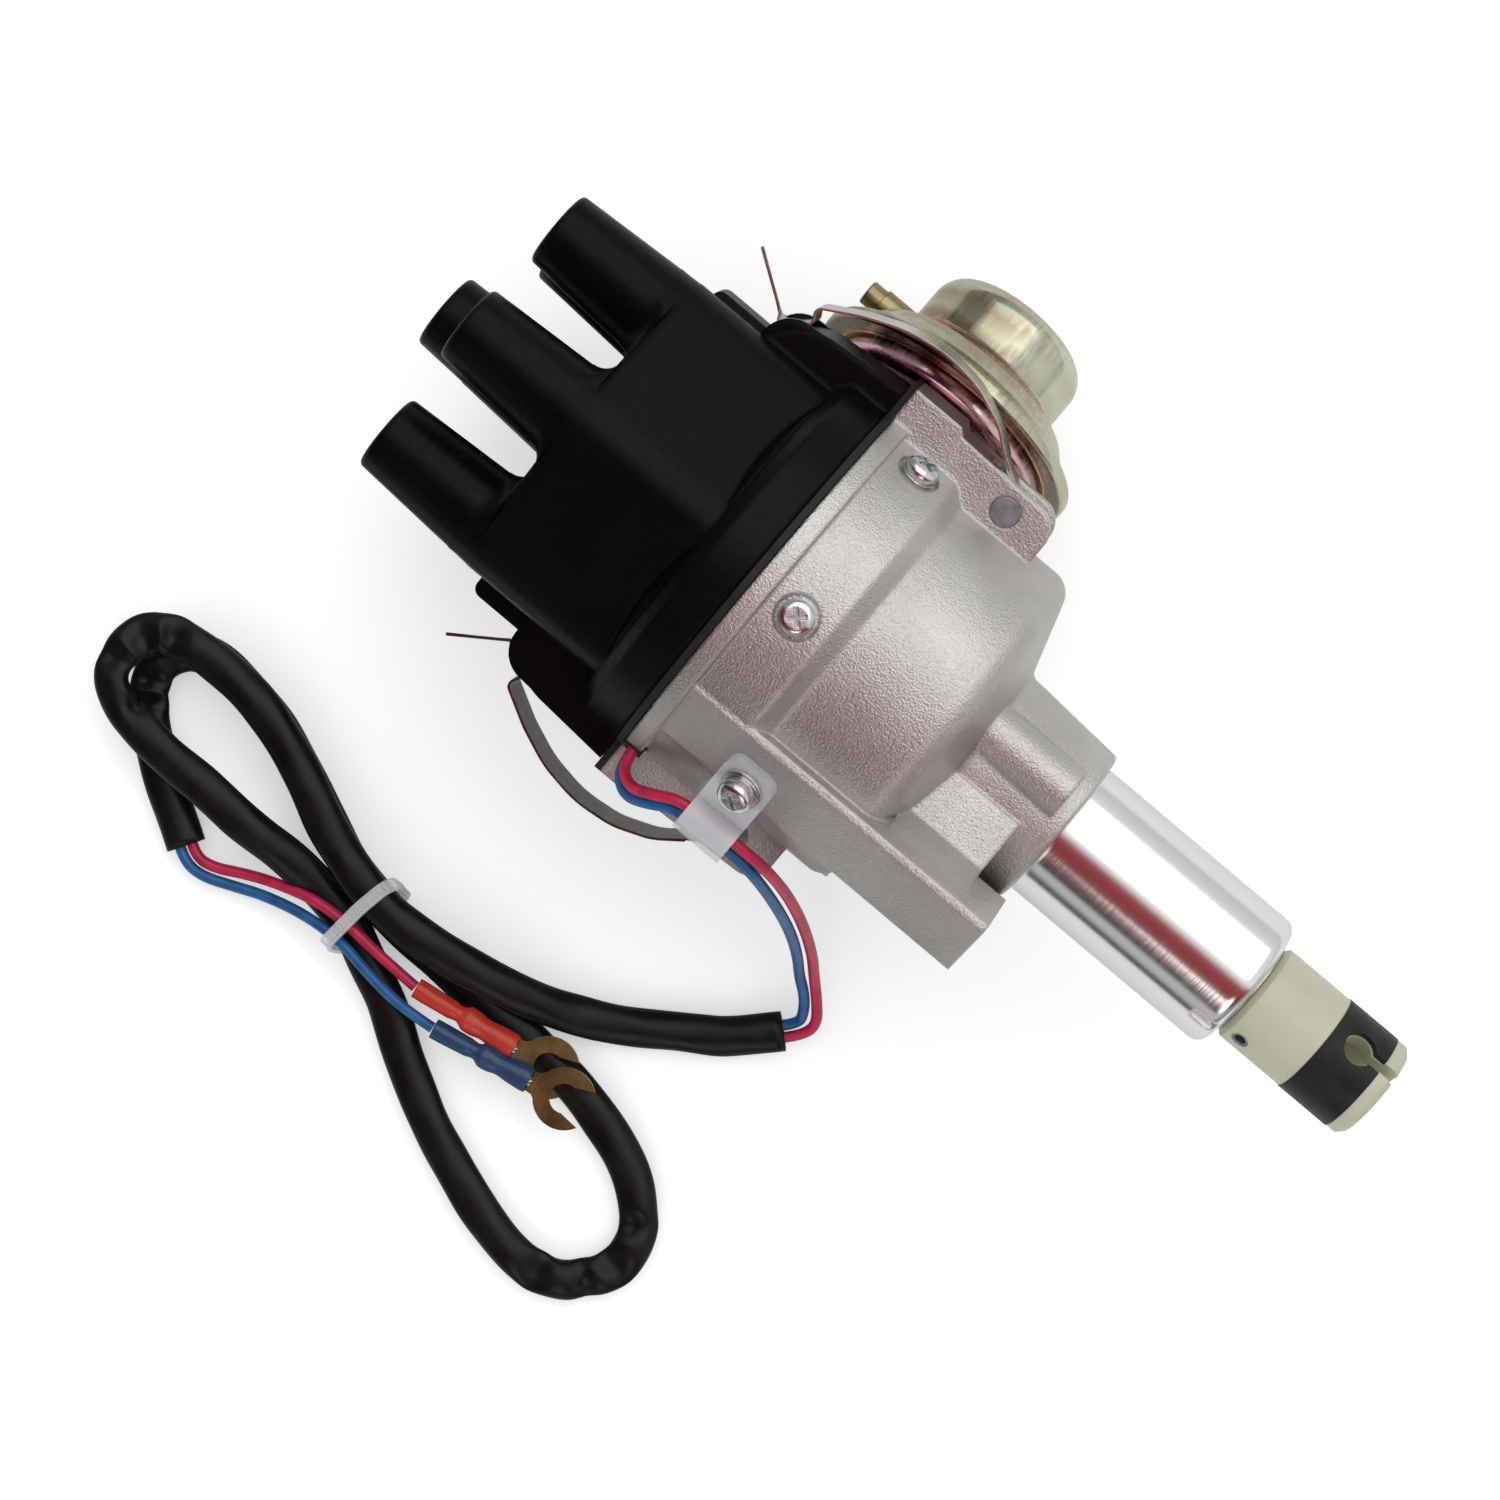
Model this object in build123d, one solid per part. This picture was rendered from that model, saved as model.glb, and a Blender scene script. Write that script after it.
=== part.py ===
from build123d import *
from math import asin, cos, degrees, pi, radians, sin, tan
import os

# A six-cylinder ignition distributor lying on its side, in millimetres.
# X runs along the shaft towards the drive end, Z is up, and the origin is where the
# machined spigot leaves the cast boss. Angles round the shaft are counted from +Z towards +Y.

# Fits and stock
RUNNING = 0.05
CLEAR = 0.3
SEAL_GAP = 0.1
TURN = 360

# Spigot and boss
SPIGOT_RADIUS = 14.75
SPIGOT_LENGTH = 47.5
SPIGOT_ROUND = 2.5
BOSS_RADIUS = 17.5
BOSS_ROOT_RADIUS = 18.9
BOSS_LENGTH = 22.6
EDGE_ROUND = 0.8

# Bowl of the housing
RIM_RADIUS = 41.5
RIM_BAND = 4.0
UPPER_RADIUS = 40.0
BOWL_RADIUS = 37.0
BOWL_LENGTH = 46.3
UPPER_LENGTH = 17.0
STEP_LENGTH = 3.8
BOWL_CORNER = 5.0
WALL = 3.0
FLOOR_WALL = 4.8

# Rail along the housing, as its section across the shaft
RAIL_IN = 17.5
RAIL_CREST_IN = 23.5
RAIL_CREST_OUT = 25.0
RAIL_CREST_HEIGHT = 32.2
RAIL_FOOT_HEIGHT = 21.0
RAIL_OUT = 34.5
RAIL_STEP = 1.5
RAIL_EDGE_HEIGHT = 21.5
RAIL_BOTTOM = -3.0
RAIL_STEP_X = -28.5

# Rib and pad on the boss
RIB_RADIUS = 6.0
RIB_SIDE = 5.0
RIB_HEIGHT = 15.0
RIB_END = 3.5
PAD_SIDE = 5.0
PAD_HEIGHT = 18.9
PAD_FAR_SIDE = 16.0
PAD_FAR_HEIGHT = 20.5
PAD_START = 26.0
PAD_END = 7.0

# Shaft and its bushes
SHAFT_RADIUS = 6.25
SHAFT_TOP = -88.0
BUSH_RADIUS = 8.6
BUSH_LENGTH = 16.0
BORE_RADIUS = 8.0
STUB_RADIUS = 4.5

# Centrifugal governor
GOVERNOR_X = -36.0
GOVERNOR_PLATE = 2.0
GOVERNOR_RADIUS = 27.0
HUB_RADIUS = 10.0
HUB_LENGTH = 5.0
PIVOT_DISTANCE = 20.0
PIVOT_RADIUS = 1.75
WEIGHT_THICKNESS = 4.5
WEIGHT_INNER = 14.0
WEIGHT_OUTER = 25.0
WEIGHT_START = -8.0
WEIGHT_SPAN = 112.0
WEIGHT_EYE = 4.5
DRIVE_PIN_DISTANCE = 17.0
DRIVE_PIN_ANGLE = 75.0
DRIVE_PIN_RADIUS = 1.5
CAM_PLATE = 2.0
CAM_ARM = 9.5
CAM_REACH = 27.0
SLEEVE_RADIUS = 8.0
SLEEVE_TOP = -98.0
SPRING_WIRE = 0.8

# Breaker plates
FIXED_X = -62.6
PLATE_THICKNESS = 1.6
FIXED_RADIUS = 36.4
COLLAR_INNER = 14.0
COLLAR_OUTER = 16.2
COLLAR_HEIGHT = 4.4
MOVING_RADIUS = 31.0
TAB_WIDTH = 9.0
TAB_THICKNESS = 3.0

# Reluctor and pick-up
TEETH = 6
RELUCTOR_X = -79.5
RELUCTOR_LENGTH = 9.0
RELUCTOR_ROOT = 12.5
RELUCTOR_TIP = 17.0
TOOTH_WIDTH = 3.0
AIR_GAP = 0.4
PICKUP_ANGLE = -118.0
COIL_WIDTH = 15.0
COIL_DEPTH = 7.5
CORE_RADIUS = 2.2

# Cap
CAP_MOUTH = -76.0
SKIRT_RADIUS = 41.5
SKIRT_LENGTH = 8.0
SKIRT_SLOPE = 2.5
CAP_FACE = -119.7
TOWER_COUNT = 6
TOWER_CIRCLE = 29.0
TOWER_ROOT = 9.5
TOWER_TIP = 7.9
TOWER_END = -146.4
CENTRE_END = -154.4
CENTRE_ROOT = 9.6
DOME_LOBE = 9.5
CAP_WALL = 4.0
CAVITY_RADIUS = 31.0
SKIRT_INNER = 37.4
SOCKET_RADIUS = 4.1
SOCKET_DEPTH = 21.0
TERMINAL_RADIUS = 2.5
TERMINAL_END = -99.0
TERMINAL_CUP = 4.4
CUP_WALL = 0.5
CUP_LENGTH = 12.0
CAP_RIB_REACH = 38.0
CAP_RIB_START = -116.0
CAP_RIB_HALF = 4.0
EAR_START = -104.0
EAR_REACH = 45.0
EAR_ROUND = 12.8
EAR_HALF = 8.0

# Rotor
ROTOR_RADIUS = 13.0
ROTOR_X = -103.0
ROTOR_TOP = 4.5
ARM_WIDTH = 12.0
ARM_REACH = 24.0
ELECTRODE_REACH = 26.0
ELECTRODE_THICKNESS = 1.2
ELECTRODE_WIDTH = 8.0
ROTOR_ANGLE = 30.0
BRUSH_RADIUS = 2.4
BRUSH_LENGTH = 9.0

# Spring clips, in the plane of the clip
CLIP_ROLL = 12.0
PIN_X = -47.0
PIN_REACH = 41.0
PIN_RADIUS = 2.85
LUG_END = -37.3
LUG_REACH = 46.6
LUG_TOP = 48.0
LUG_TOP_X = -63.5
LUG_HALF = 8.0
LUG_ROUND = 5.0
SLOT_HALF = 4.4
CLIP_THICKNESS = 0.9
CLIP_WIDTH = 11.0
TONGUE_WIDTH = 8.0
PIN_FIT = 0.15

# Gasket between cap and housing
GASKET_LIP = 1.0

# Side screws, M4 pan head with a spring washer
SCREW_X = -64.0
SCREW_ANGLES = (-4.0, 56.0, -154.0)
SCREW_RADIUS = 2.0
SCREW_LENGTH = 6.4
HEAD_RADIUS = 3.5
HEAD_HEIGHT = 2.6
WASHER_RADIUS = 3.6
WASHER_THICKNESS = 1.0
SPOT_DEPTH = 0.9
RECESS_WIDTH = 0.9
RECESS_REACH = 2.0

# Vacuum canister, along its own axis from the foot of the shaft's perpendicular
CAN_X = -67.9
CAN_TILT = 14.5
CAN_OFFSET = 10.75
FLANGE_RADIUS = 29.9
FLANGE_DISTANCE = 51.05
FLANGE_THICKNESS = 2.7
SHELL_RADIUS = 25.0
SHELL_BACK = 46.75
SHELL_WALL = 1.0
CRIMP = 0.6
CUP_CORE = 2.0
CUP_RADIUS = 17.25
CUP_END = 73.75
CUP_CORNER = 5.0
SEAT_DISTANCE = 43.0
SEAT_HALF = 14.0
BRACKET_THICKNESS = 2.0
NECK_RADIUS = 7.0
ROD_HOLE = 4.2
ROD_WIDTH = 4.0
ROD_THICKNESS = 1.2
ROD_ARM = 22.0
ROD_KNEE = 31.0
ROD_EYE = 3.4
ROD_PIN = 1.5
NIPPLE_RADIUS = 2.6
NIPPLE_BORE = 1.3
NIPPLE_REACH = 27.8
NIPPLE_HEIGHT = 8.45
NIPPLE_ROOT = 3.0
NIPPLE_ROOT_REACH = 24.3
NIPPLE_TIP = 0.5
NIPPLE_SINK = 0.4
BRACKET_SCREW = 10.5
VACUUM_TURN = 10.0

# Drive end
COUPLING_START = 48.3
COUPLING_END = 79.5
COUPLING_RADIUS = 10.7
COUPLING_CHAMFER = 1.2
RING_START = 64.3
RING_END = 76.0
RING_PROUD = 0.15
RING_DEPTH = 1.6
KEYHOLE_X = 70.5
KEYHOLE_RADIUS = 3.0
KEYHOLE_ANGLE = 24.0
SLOT_WIDTH = 2.2
ROLL_PIN_X = 52.3
ROLL_PIN_RADIUS = 1.8
ROLL_PIN_ANGLE = -58.0
DRIVE_BORE = 5.0
DRIVE_DEPTH = 12.0
THRUST_WASHER = 0.7

# Wire clamp on the rail
CLAMP_X = -51.5
CLAMP_WIDTH = 11.0
CLAMP_THICKNESS = 1.3
CLAMP_SEAT = 10.3
CLAMP_LOOP = 2.8
LEAD_RADIUS = 1.15
LEAD_ANGLE = -83.0
GROMMET_INNER = 36.3
GROMMET_OUTER = 41.8

# Harness, which lies on the table at the height of the canister's lower edge
SLEEVE_TUBE_RADIUS = 3.4
LEAD_SPREAD = 1.6
CORD_BEND = 0.45
SHRINK_RADIUS = 2.0
SHRINK_THICK = 2.1
RED_SHRINK = ((-75.5, -107.0, -43.7), (-52.5, -103.5, -43.5))
BLUE_SHRINK = ((-67.5, -111.0, -43.7), (-46.0, -106.5, -42.2))
FORK_THICKNESS = 0.7
FORK_DROP = 1.2
FORK_RADIUS = 6.4
FORK_SLOT = 2.7
FORK_DISTANCE = 7.8
TIE_THICKNESS = 1.0
TIE_WIDTH = 2.6
TIE_CENTRE = (-92.0, -98.6, 0)
TIE_SKEW = 10.0

BOWL_END = -BOSS_LENGTH - 5.6
BOWL_MOUTH = BOWL_END - BOWL_LENGTH
STEP_START = BOWL_MOUTH + UPPER_LENGTH
STEP_END = STEP_START + STEP_LENGTH
COLLAR_TOP = FIXED_X - COLLAR_HEIGHT
MOVING_X = FIXED_X - RUNNING
WEIGHT_X = GOVERNOR_X - GOVERNOR_PLATE - CLEAR
CAM_X = WEIGHT_X - WEIGHT_THICKNESS - CLEAR
STUB_START = CAM_X + CLEAR
SIDES = (0, 180)

# Routes of the two leads from the grommet, through the clamp and into the sleeve
RED_LEAD = [
    (-72.3, -35.5, 6.0), (-72.3, -44.3, 7.1), (-68.0, -47.2, 10.8), (-63.5, -45.2, 15.6),
    (-58.5, -42.3, 18.7), (-45.2, -42.2, 18.8), (-39.0, -42.2, 15.0), (-32.5, -43.2, 4.0),
    (-25.5, -46.0, -12.0), (-19.5, -49.8, -27.0), (-16.0, -53.2, -36.5), (-12.0, -56.9, -42.4),
    (-8.7, -60.7, -46.4), (-9.5, -64.3, -48.2), (-12.0, -67.0, -48.4),
]
BLUE_LEAD = [
    (-72.3, -35.9, 2.8), (-72.3, -45.4, 4.0), (-68.0, -49.0, 7.4), (-63.5, -47.4, 12.4),
    (-58.5, -44.1, 16.9), (-45.2, -44.0, 17.0), (-39.0, -44.6, 12.4), (-32.0, -46.5, 0.0),
    (-25.9, -49.0, -14.0), (-21.2, -52.2, -27.2), (-18.4, -55.0, -36.0), (-14.7, -57.6, -41.4),
    (-12.4, -60.5, -45.2), (-11.6, -62.9, -48.2), (-13.85, -65.35, -48.4),
]

# The sleeve runs out, doubles back twice and lies in a loop between the folds
SLEEVE = [
    (-13.0, -66.2, -48.4), (-19.6, -73.6, -49.2), (-27.0, -78.5, -49.2), (-35.5, -84.5, -49.2),
    (-46.0, -90.5, -48.2), (-56.0, -94.0, -45.2), (-67.0, -96.5, -42.5), (-76.5, -98.0, -41.5),
    (-85.0, -99.0, -41.0), (-93.0, -98.5, -41.0), (-101.0, -96.8, -41.2), (-109.5, -94.0, -42.0),
    (-119.0, -89.5, -42.3), (-128.5, -85.5, -42.3), (-139.0, -83.0, -42.3), (-149.0, -82.5, -42.3),
    (-157.0, -83.5, -42.3), (-162.5, -86.0, -42.3), (-165.0, -91.5, -42.3), (-163.5, -97.5, -42.3),
    (-158.0, -101.5, -42.3), (-151.0, -103.0, -42.3), (-142.5, -103.5, -42.3), (-132.5, -103.5, -42.3),
    (-121.5, -104.0, -42.6), (-110.5, -103.5, -44.9), (-101.5, -104.6, -47.1), (-93.5, -106.4, -47.9),
    (-85.0, -110.5, -48.2), (-76.5, -114.5, -48.9), (-65.5, -122.0, -49.2), (-51.0, -129.0, -49.2),
    (-36.5, -134.0, -49.2), (-24.5, -136.8, -49.2), (-14.5, -134.5, -49.2), (-8.2, -127.0, -49.2),
    (-8.0, -118.0, -49.2), (-14.0, -110.5, -49.2), (-23.0, -105.7, -49.2), (-34.5, -102.5, -49.2),
    (-47.0, -101.0, -49.2), (-58.0, -100.5, -49.2), (-71.0, -100.5, -48.7), (-83.5, -100.0, -47.9),
    (-93.5, -99.0, -48.0), (-102.0, -97.0, -48.7), (-110.5, -93.5, -49.2), (-121.0, -89.0, -49.2),
    (-131.0, -85.0, -49.2), (-141.0, -83.0, -49.2), (-150.0, -82.5, -49.2), (-156.0, -85.0, -49.2),
    (-158.5, -91.0, -49.2), (-156.0, -97.0, -49.2), (-151.0, -102.0, -49.2), (-144.5, -106.5, -49.2),
    (-137.5, -111.0, -49.2), (-130.0, -115.5, -49.2),
]
RED_TAIL = [
    (-129.3, -114.4, -49.2), (-126.8, -116.0, -49.2), (-122.6, -115.2, -49.0), (-117.5, -112.3, -48.2),
    (-111.5, -109.5, -46.8), (-102.5, -106.5, -43.0), (-95.0, -106.0, -42.6), (-85.0, -106.8, -43.0),
    (-75.8, -107.0, -43.7),
]
BLUE_TAIL = [
    (-130.6, -116.6, -49.2), (-128.0, -118.2, -49.2), (-123.5, -118.2, -49.2), (-117.5, -115.7, -49.0),
    (-111.5, -113.0, -48.2), (-103.0, -110.5, -45.4), (-94.0, -109.5, -43.0), (-85.0, -111.0, -43.0),
    (-75.5, -112.0, -43.4), (-67.8, -111.1, -43.7),
]


def turned(points, arc=TURN):
    return revolve(make_face(Polyline(*points, close=True)), Axis.X, arc)


def bar(radius, x0, x1, y=0, z=0):
    return Pos((x0 + x1) / 2, y, z) * Rot(0, 90, 0) * Cylinder(radius, abs(x1 - x0))


def block(x0, x1, y0, y1, z0, z1):
    centre = Pos((x0 + x1) / 2, (y0 + y1) / 2, (z0 + z1) / 2)
    return centre * Box(abs(x1 - x0), abs(y1 - y0), abs(z1 - z0))


def spoke(radius, r0, r1, x):
    return Pos(x, 0, (r0 + r1) / 2) * Cylinder(radius, abs(r1 - r0))


def swung(angle, shape):
    return Rot(-angle, 0, 0) * shape


def across(points, x0, x1):
    """Prism along the shaft from a section of (y, z) points."""
    return extrude(Plane.YZ.offset(x0) * make_face(Polyline(*points, close=True)), amount=x1 - x0)


def clip_side(turn):
    return Rot(CLIP_ROLL + turn, 0, 0)


def canister_place():
    foot = Pos(CAN_X, -CAN_OFFSET * sin(radians(CAN_TILT)), -CAN_OFFSET * cos(radians(CAN_TILT)))
    return foot * Rot(-90 - CAN_TILT, 0, 0)


def save(name, *solids):
    shape = solids[0] if len(solids) == 1 else Compound(children=list(solids))
    export_step(shape, f"parts/{name}.step")


# Housing
def housing_outside():
    outline = FilletPolyline(
        (BOWL_MOUTH, 0),
        (BOWL_MOUTH, RIM_RADIUS),
        (BOWL_MOUTH + RIM_BAND, RIM_RADIUS),
        (BOWL_MOUTH + RIM_BAND, UPPER_RADIUS),
        (STEP_START, UPPER_RADIUS),
        (STEP_END, BOWL_RADIUS),
        (BOWL_END, BOWL_RADIUS),
        (-BOSS_LENGTH, BOSS_ROOT_RADIUS),
        (0, BOSS_RADIUS),
        (0, SPIGOT_RADIUS),
        (SPIGOT_LENGTH, SPIGOT_RADIUS),
        (SPIGOT_LENGTH, 0),
        radius=[0.6, 0.5, 0.3, 1.5, 1.5, BOWL_CORNER, 2, EDGE_ROUND, 0.2, SPIGOT_ROUND],
    )
    return revolve(make_face(outline + Line((SPIGOT_LENGTH, 0), (BOWL_MOUTH, 0))), Axis.X)


def bowl_cavity():
    inner_step = STEP_END - WALL / 2
    return turned([
        (BOWL_MOUTH, 0),
        (BOWL_MOUTH, UPPER_RADIUS - WALL),
        (inner_step - STEP_LENGTH, UPPER_RADIUS - WALL),
        (inner_step, BOWL_RADIUS - WALL),
        (BOWL_END - FLOOR_WALL, BOWL_RADIUS - WALL),
        (-BOSS_LENGTH - FLOOR_WALL, BOSS_ROOT_RADIUS),
        (-BOSS_LENGTH - FLOOR_WALL, 0),
    ])


def rail():
    def section(reach):
        return [
            (-RAIL_IN, RAIL_FOOT_HEIGHT),
            (-RAIL_CREST_IN, RAIL_CREST_HEIGHT),
            (-RAIL_CREST_OUT, RAIL_CREST_HEIGHT),
            (-RAIL_OUT, RAIL_EDGE_HEIGHT),
            (-reach, RAIL_EDGE_HEIGHT - 6),
            (-reach, RAIL_BOTTOM + 6),
            (-reach + 5, RAIL_BOTTOM),
            (-RAIL_IN, RAIL_BOTTOM),
        ]
    upper = across(section(RAIL_OUT + RAIL_STEP), BOWL_MOUTH, RAIL_STEP_X)
    return upper + across(section(RAIL_OUT), RAIL_STEP_X, 0)


def boss_pad():
    section = [
        (-PAD_SIDE, 0),
        (-PAD_SIDE, PAD_HEIGHT),
        (-PAD_FAR_SIDE, PAD_FAR_HEIGHT),
        (-RAIL_CREST_IN, RAIL_CREST_HEIGHT - 1),
        (-RAIL_CREST_IN - 1, 0),
    ]
    return across(section, -PAD_START, -PAD_END)


def clip_lug():
    outline = make_face(Polyline(
        (BOWL_MOUTH, BOWL_RADIUS - WALL / 2),
        (BOWL_MOUTH, LUG_TOP),
        (LUG_TOP_X, LUG_TOP),
        (LUG_TOP_X + LUG_TOP - LUG_REACH, LUG_REACH),
        (LUG_END, LUG_REACH - 1),
        (LUG_END, BOWL_RADIUS - WALL / 2),
        close=True,
    ))
    corner = outline.vertices().sort_by(lambda v: v.X + v.Y)[-1]
    outline = fillet(corner, LUG_ROUND)
    lug = extrude(outline, amount=LUG_HALF, both=True)
    eye = PIN_RADIUS + PIN_FIT + CLIP_THICKNESS + CLEAR
    slot = block(PIN_X - 8.5, LUG_END, PIN_REACH - eye, LUG_TOP, -SLOT_HALF, SLOT_HALF)
    hole = Pos(PIN_X, PIN_REACH, 0) * Cylinder(PIN_RADIUS, 3 * LUG_HALF)
    return lug, slot + hole


def canister_seat():
    return Pos(0, 0, (SEAT_DISTANCE + BOWL_RADIUS - 9) / 2) * Box(
        2 * (BOWL_MOUTH + RIM_BAND + 9.2 - CAN_X), 2 * SEAT_HALF, SEAT_DISTANCE - BOWL_RADIUS + 9
    )


def clamp_place():
    """Foot of the wire clamp on the rail's sloped facet, with Z along its screw."""
    rise = RAIL_CREST_HEIGHT - RAIL_EDGE_HEIGHT
    run = RAIL_OUT - RAIL_CREST_OUT
    slope = degrees(asin(rise / (rise**2 + run**2) ** 0.5))
    y = -(RAIL_CREST_OUT + RAIL_OUT) / 2 - 1.6
    z = RAIL_CREST_HEIGHT - (-y - RAIL_CREST_OUT) * rise / run
    return Pos(CLAMP_X, y, z) * Rot(slope, 0, 0)


def lead_exit():
    """Notch through the rim where the two leads come out beside the rail."""
    return Pos(BOWL_MOUTH, 0, 0) * swung(LEAD_ANGLE, Pos(0, 0, UPPER_RADIUS) * Box(9, 7, 14))


def housing():
    shape = housing_outside() + rail() + boss_pad()
    shape += bar(RIB_RADIUS, -BOSS_LENGTH - 2, -RIB_END, RIB_SIDE, RIB_HEIGHT)
    cuts = bowl_cavity()
    for turn in SIDES:
        lug, slot = clip_lug()
        shape += clip_side(turn) * lug
        cuts += clip_side(turn) * slot
    shape += canister_place() * canister_seat()
    cuts += canister_place() * (Pos(0, 0, SEAT_DISTANCE - 8) * Cylinder(ROD_HOLE, 24))
    cuts += bar(BORE_RADIUS, BOWL_END, SPIGOT_LENGTH)
    cuts += bar(BUSH_RADIUS, -BOSS_LENGTH - FLOOR_WALL, -BOSS_LENGTH - FLOOR_WALL + BUSH_LENGTH)
    cuts += bar(BUSH_RADIUS, SPIGOT_LENGTH - BUSH_LENGTH, SPIGOT_LENGTH)
    for angle in SCREW_ANGLES:
        cuts += swung(angle, spoke(SCREW_RADIUS + 0.2, RELUCTOR_TIP, RIM_RADIUS, SCREW_X))
        cuts += swung(angle, spoke(HEAD_RADIUS + 0.9, UPPER_RADIUS - SPOT_DEPTH, RIM_RADIUS + 4, SCREW_X))
    cuts += clamp_place() * (Pos(0, 0, -4) * Cylinder(SCREW_RADIUS, 8))
    cuts += lead_exit()
    cuts += swung(-47, Pos(44, 0, SPIGOT_RADIUS) * Box(5, 2, 2))
    for side in (-1, 1):
        cuts += canister_place() * (Pos(0, side * 10.5, SEAT_DISTANCE - 4) * Cylinder(SCREW_RADIUS, 8))
    return shape - cuts


def bush(x0):
    outer = bar(BUSH_RADIUS, x0, x0 + BUSH_LENGTH)
    return outer - bar(SHAFT_RADIUS + RUNNING, x0, x0 + BUSH_LENGTH)


# Shaft, governor and everything that spins with them
def shaft():
    lower = bar(SHAFT_RADIUS, STUB_START, SPIGOT_LENGTH)
    stub = bar(STUB_RADIUS, SHAFT_TOP, STUB_START)
    tail = bar(SHAFT_RADIUS - 1, SPIGOT_LENGTH, COUPLING_END - DRIVE_DEPTH - 1)
    pin_hole = swung(ROLL_PIN_ANGLE, spoke(ROLL_PIN_RADIUS, -COUPLING_RADIUS, COUPLING_RADIUS, ROLL_PIN_X))
    return lower + stub + tail - pin_hole


def governor_plate():
    disc = bar(GOVERNOR_RADIUS, GOVERNOR_X - GOVERNOR_PLATE, GOVERNOR_X)
    disc += bar(HUB_RADIUS, GOVERNOR_X, GOVERNOR_X + HUB_LENGTH)
    disc -= bar(SHAFT_RADIUS, GOVERNOR_X - GOVERNOR_PLATE, GOVERNOR_X + HUB_LENGTH)
    for turn in SIDES:
        disc -= swung(turn, bar(PIVOT_RADIUS, GOVERNOR_X - GOVERNOR_PLATE, GOVERNOR_X, 0, PIVOT_DISTANCE))
        cutout = bar(5, GOVERNOR_X - GOVERNOR_PLATE, GOVERNOR_X, 0, GOVERNOR_RADIUS + 1)
        disc -= swung(turn + 90, cutout)
    return disc


def weight_pivots():
    return [
        swung(turn, bar(PIVOT_RADIUS, CAM_X + CLEAR / 2, GOVERNOR_X, 0, PIVOT_DISTANCE)) for turn in SIDES
    ]


def weight(turn):
    """Crescent weight round the shaft, swinging on the pivot at its thick end."""
    ring = bar(WEIGHT_OUTER, WEIGHT_X - WEIGHT_THICKNESS, WEIGHT_X)
    ring -= bar(WEIGHT_INNER, WEIGHT_X - WEIGHT_THICKNESS, WEIGHT_X)
    reach = 2 * WEIGHT_OUTER
    start, end = radians(WEIGHT_START), radians(WEIGHT_START + WEIGHT_SPAN)
    middle = (start + end) / 2
    sector = across(
        [
            (0, 0),
            (reach * sin(start), reach * cos(start)),
            (reach * sin(middle), reach * cos(middle)),
            (reach * sin(end), reach * cos(end)),
        ],
        WEIGHT_X - WEIGHT_THICKNESS,
        WEIGHT_X,
    )
    body = ring & sector
    body += bar(WEIGHT_EYE, WEIGHT_X - WEIGHT_THICKNESS, WEIGHT_X, 0, PIVOT_DISTANCE)
    body -= bar(PIVOT_RADIUS + RUNNING, WEIGHT_X - WEIGHT_THICKNESS, WEIGHT_X, 0, PIVOT_DISTANCE)
    pin = bar(DRIVE_PIN_RADIUS, CAM_X - CAM_PLATE, WEIGHT_X, 0, DRIVE_PIN_DISTANCE)
    return swung(turn, body + swung(DRIVE_PIN_ANGLE, pin))


def cam_sleeve():
    """Sleeve on the shaft's stub, with the slotted bar that the weights' pins turn."""
    sleeve = bar(SLEEVE_RADIUS, SLEEVE_TOP, CAM_X) + bar(HUB_RADIUS, CAM_X - CAM_PLATE - 2, CAM_X)
    for turn in SIDES:
        arm = block(CAM_X - CAM_PLATE, CAM_X, -CAM_ARM / 2, CAM_ARM / 2, 0, CAM_REACH)
        slot_radius = DRIVE_PIN_RADIUS + CLEAR
        low, high = DRIVE_PIN_DISTANCE - 0.4, CAM_REACH - CAM_ARM / 4
        slot = block(CAM_X - CAM_PLATE, CAM_X, -slot_radius, slot_radius, low, high)
        slot += bar(slot_radius, CAM_X - CAM_PLATE, CAM_X, 0, low)
        slot += bar(slot_radius, CAM_X - CAM_PLATE, CAM_X, 0, high - CAM_ARM / 8)
        sleeve += swung(turn + DRIVE_PIN_ANGLE, arm - slot)
    return sleeve - bar(STUB_RADIUS + RUNNING, SHAFT_TOP - 2, CAM_X)


def reluctor():
    wheel = bar(RELUCTOR_ROOT, RELUCTOR_X, RELUCTOR_X + RELUCTOR_LENGTH)
    tooth = block(
        RELUCTOR_X, RELUCTOR_X + RELUCTOR_LENGTH,
        -TOOTH_WIDTH / 2, TOOTH_WIDTH / 2, RELUCTOR_ROOT - 1, RELUCTOR_TIP,
    )
    for index in range(TEETH):
        wheel += swung(index * TURN / TEETH, tooth)
    return wheel - bar(SLEEVE_RADIUS, RELUCTOR_X, RELUCTOR_X + RELUCTOR_LENGTH)


def rotor_arm():
    cup = bar(ROTOR_RADIUS, ROTOR_X, SLEEVE_TOP + 14)
    cup = fillet(cup.edges().filter_by(GeomType.CIRCLE), 1)
    arm = block(ROTOR_X - ROTOR_TOP + 2, ROTOR_X + 4, -ARM_WIDTH / 2, ARM_WIDTH / 2, -ROTOR_RADIUS + 2, ARM_REACH)
    arm = fillet(arm.edges().filter_by(Axis.X), 2)
    return swung(ROTOR_ANGLE, cup + arm) - bar(SLEEVE_RADIUS, SLEEVE_TOP, SLEEVE_TOP + 14)


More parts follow.
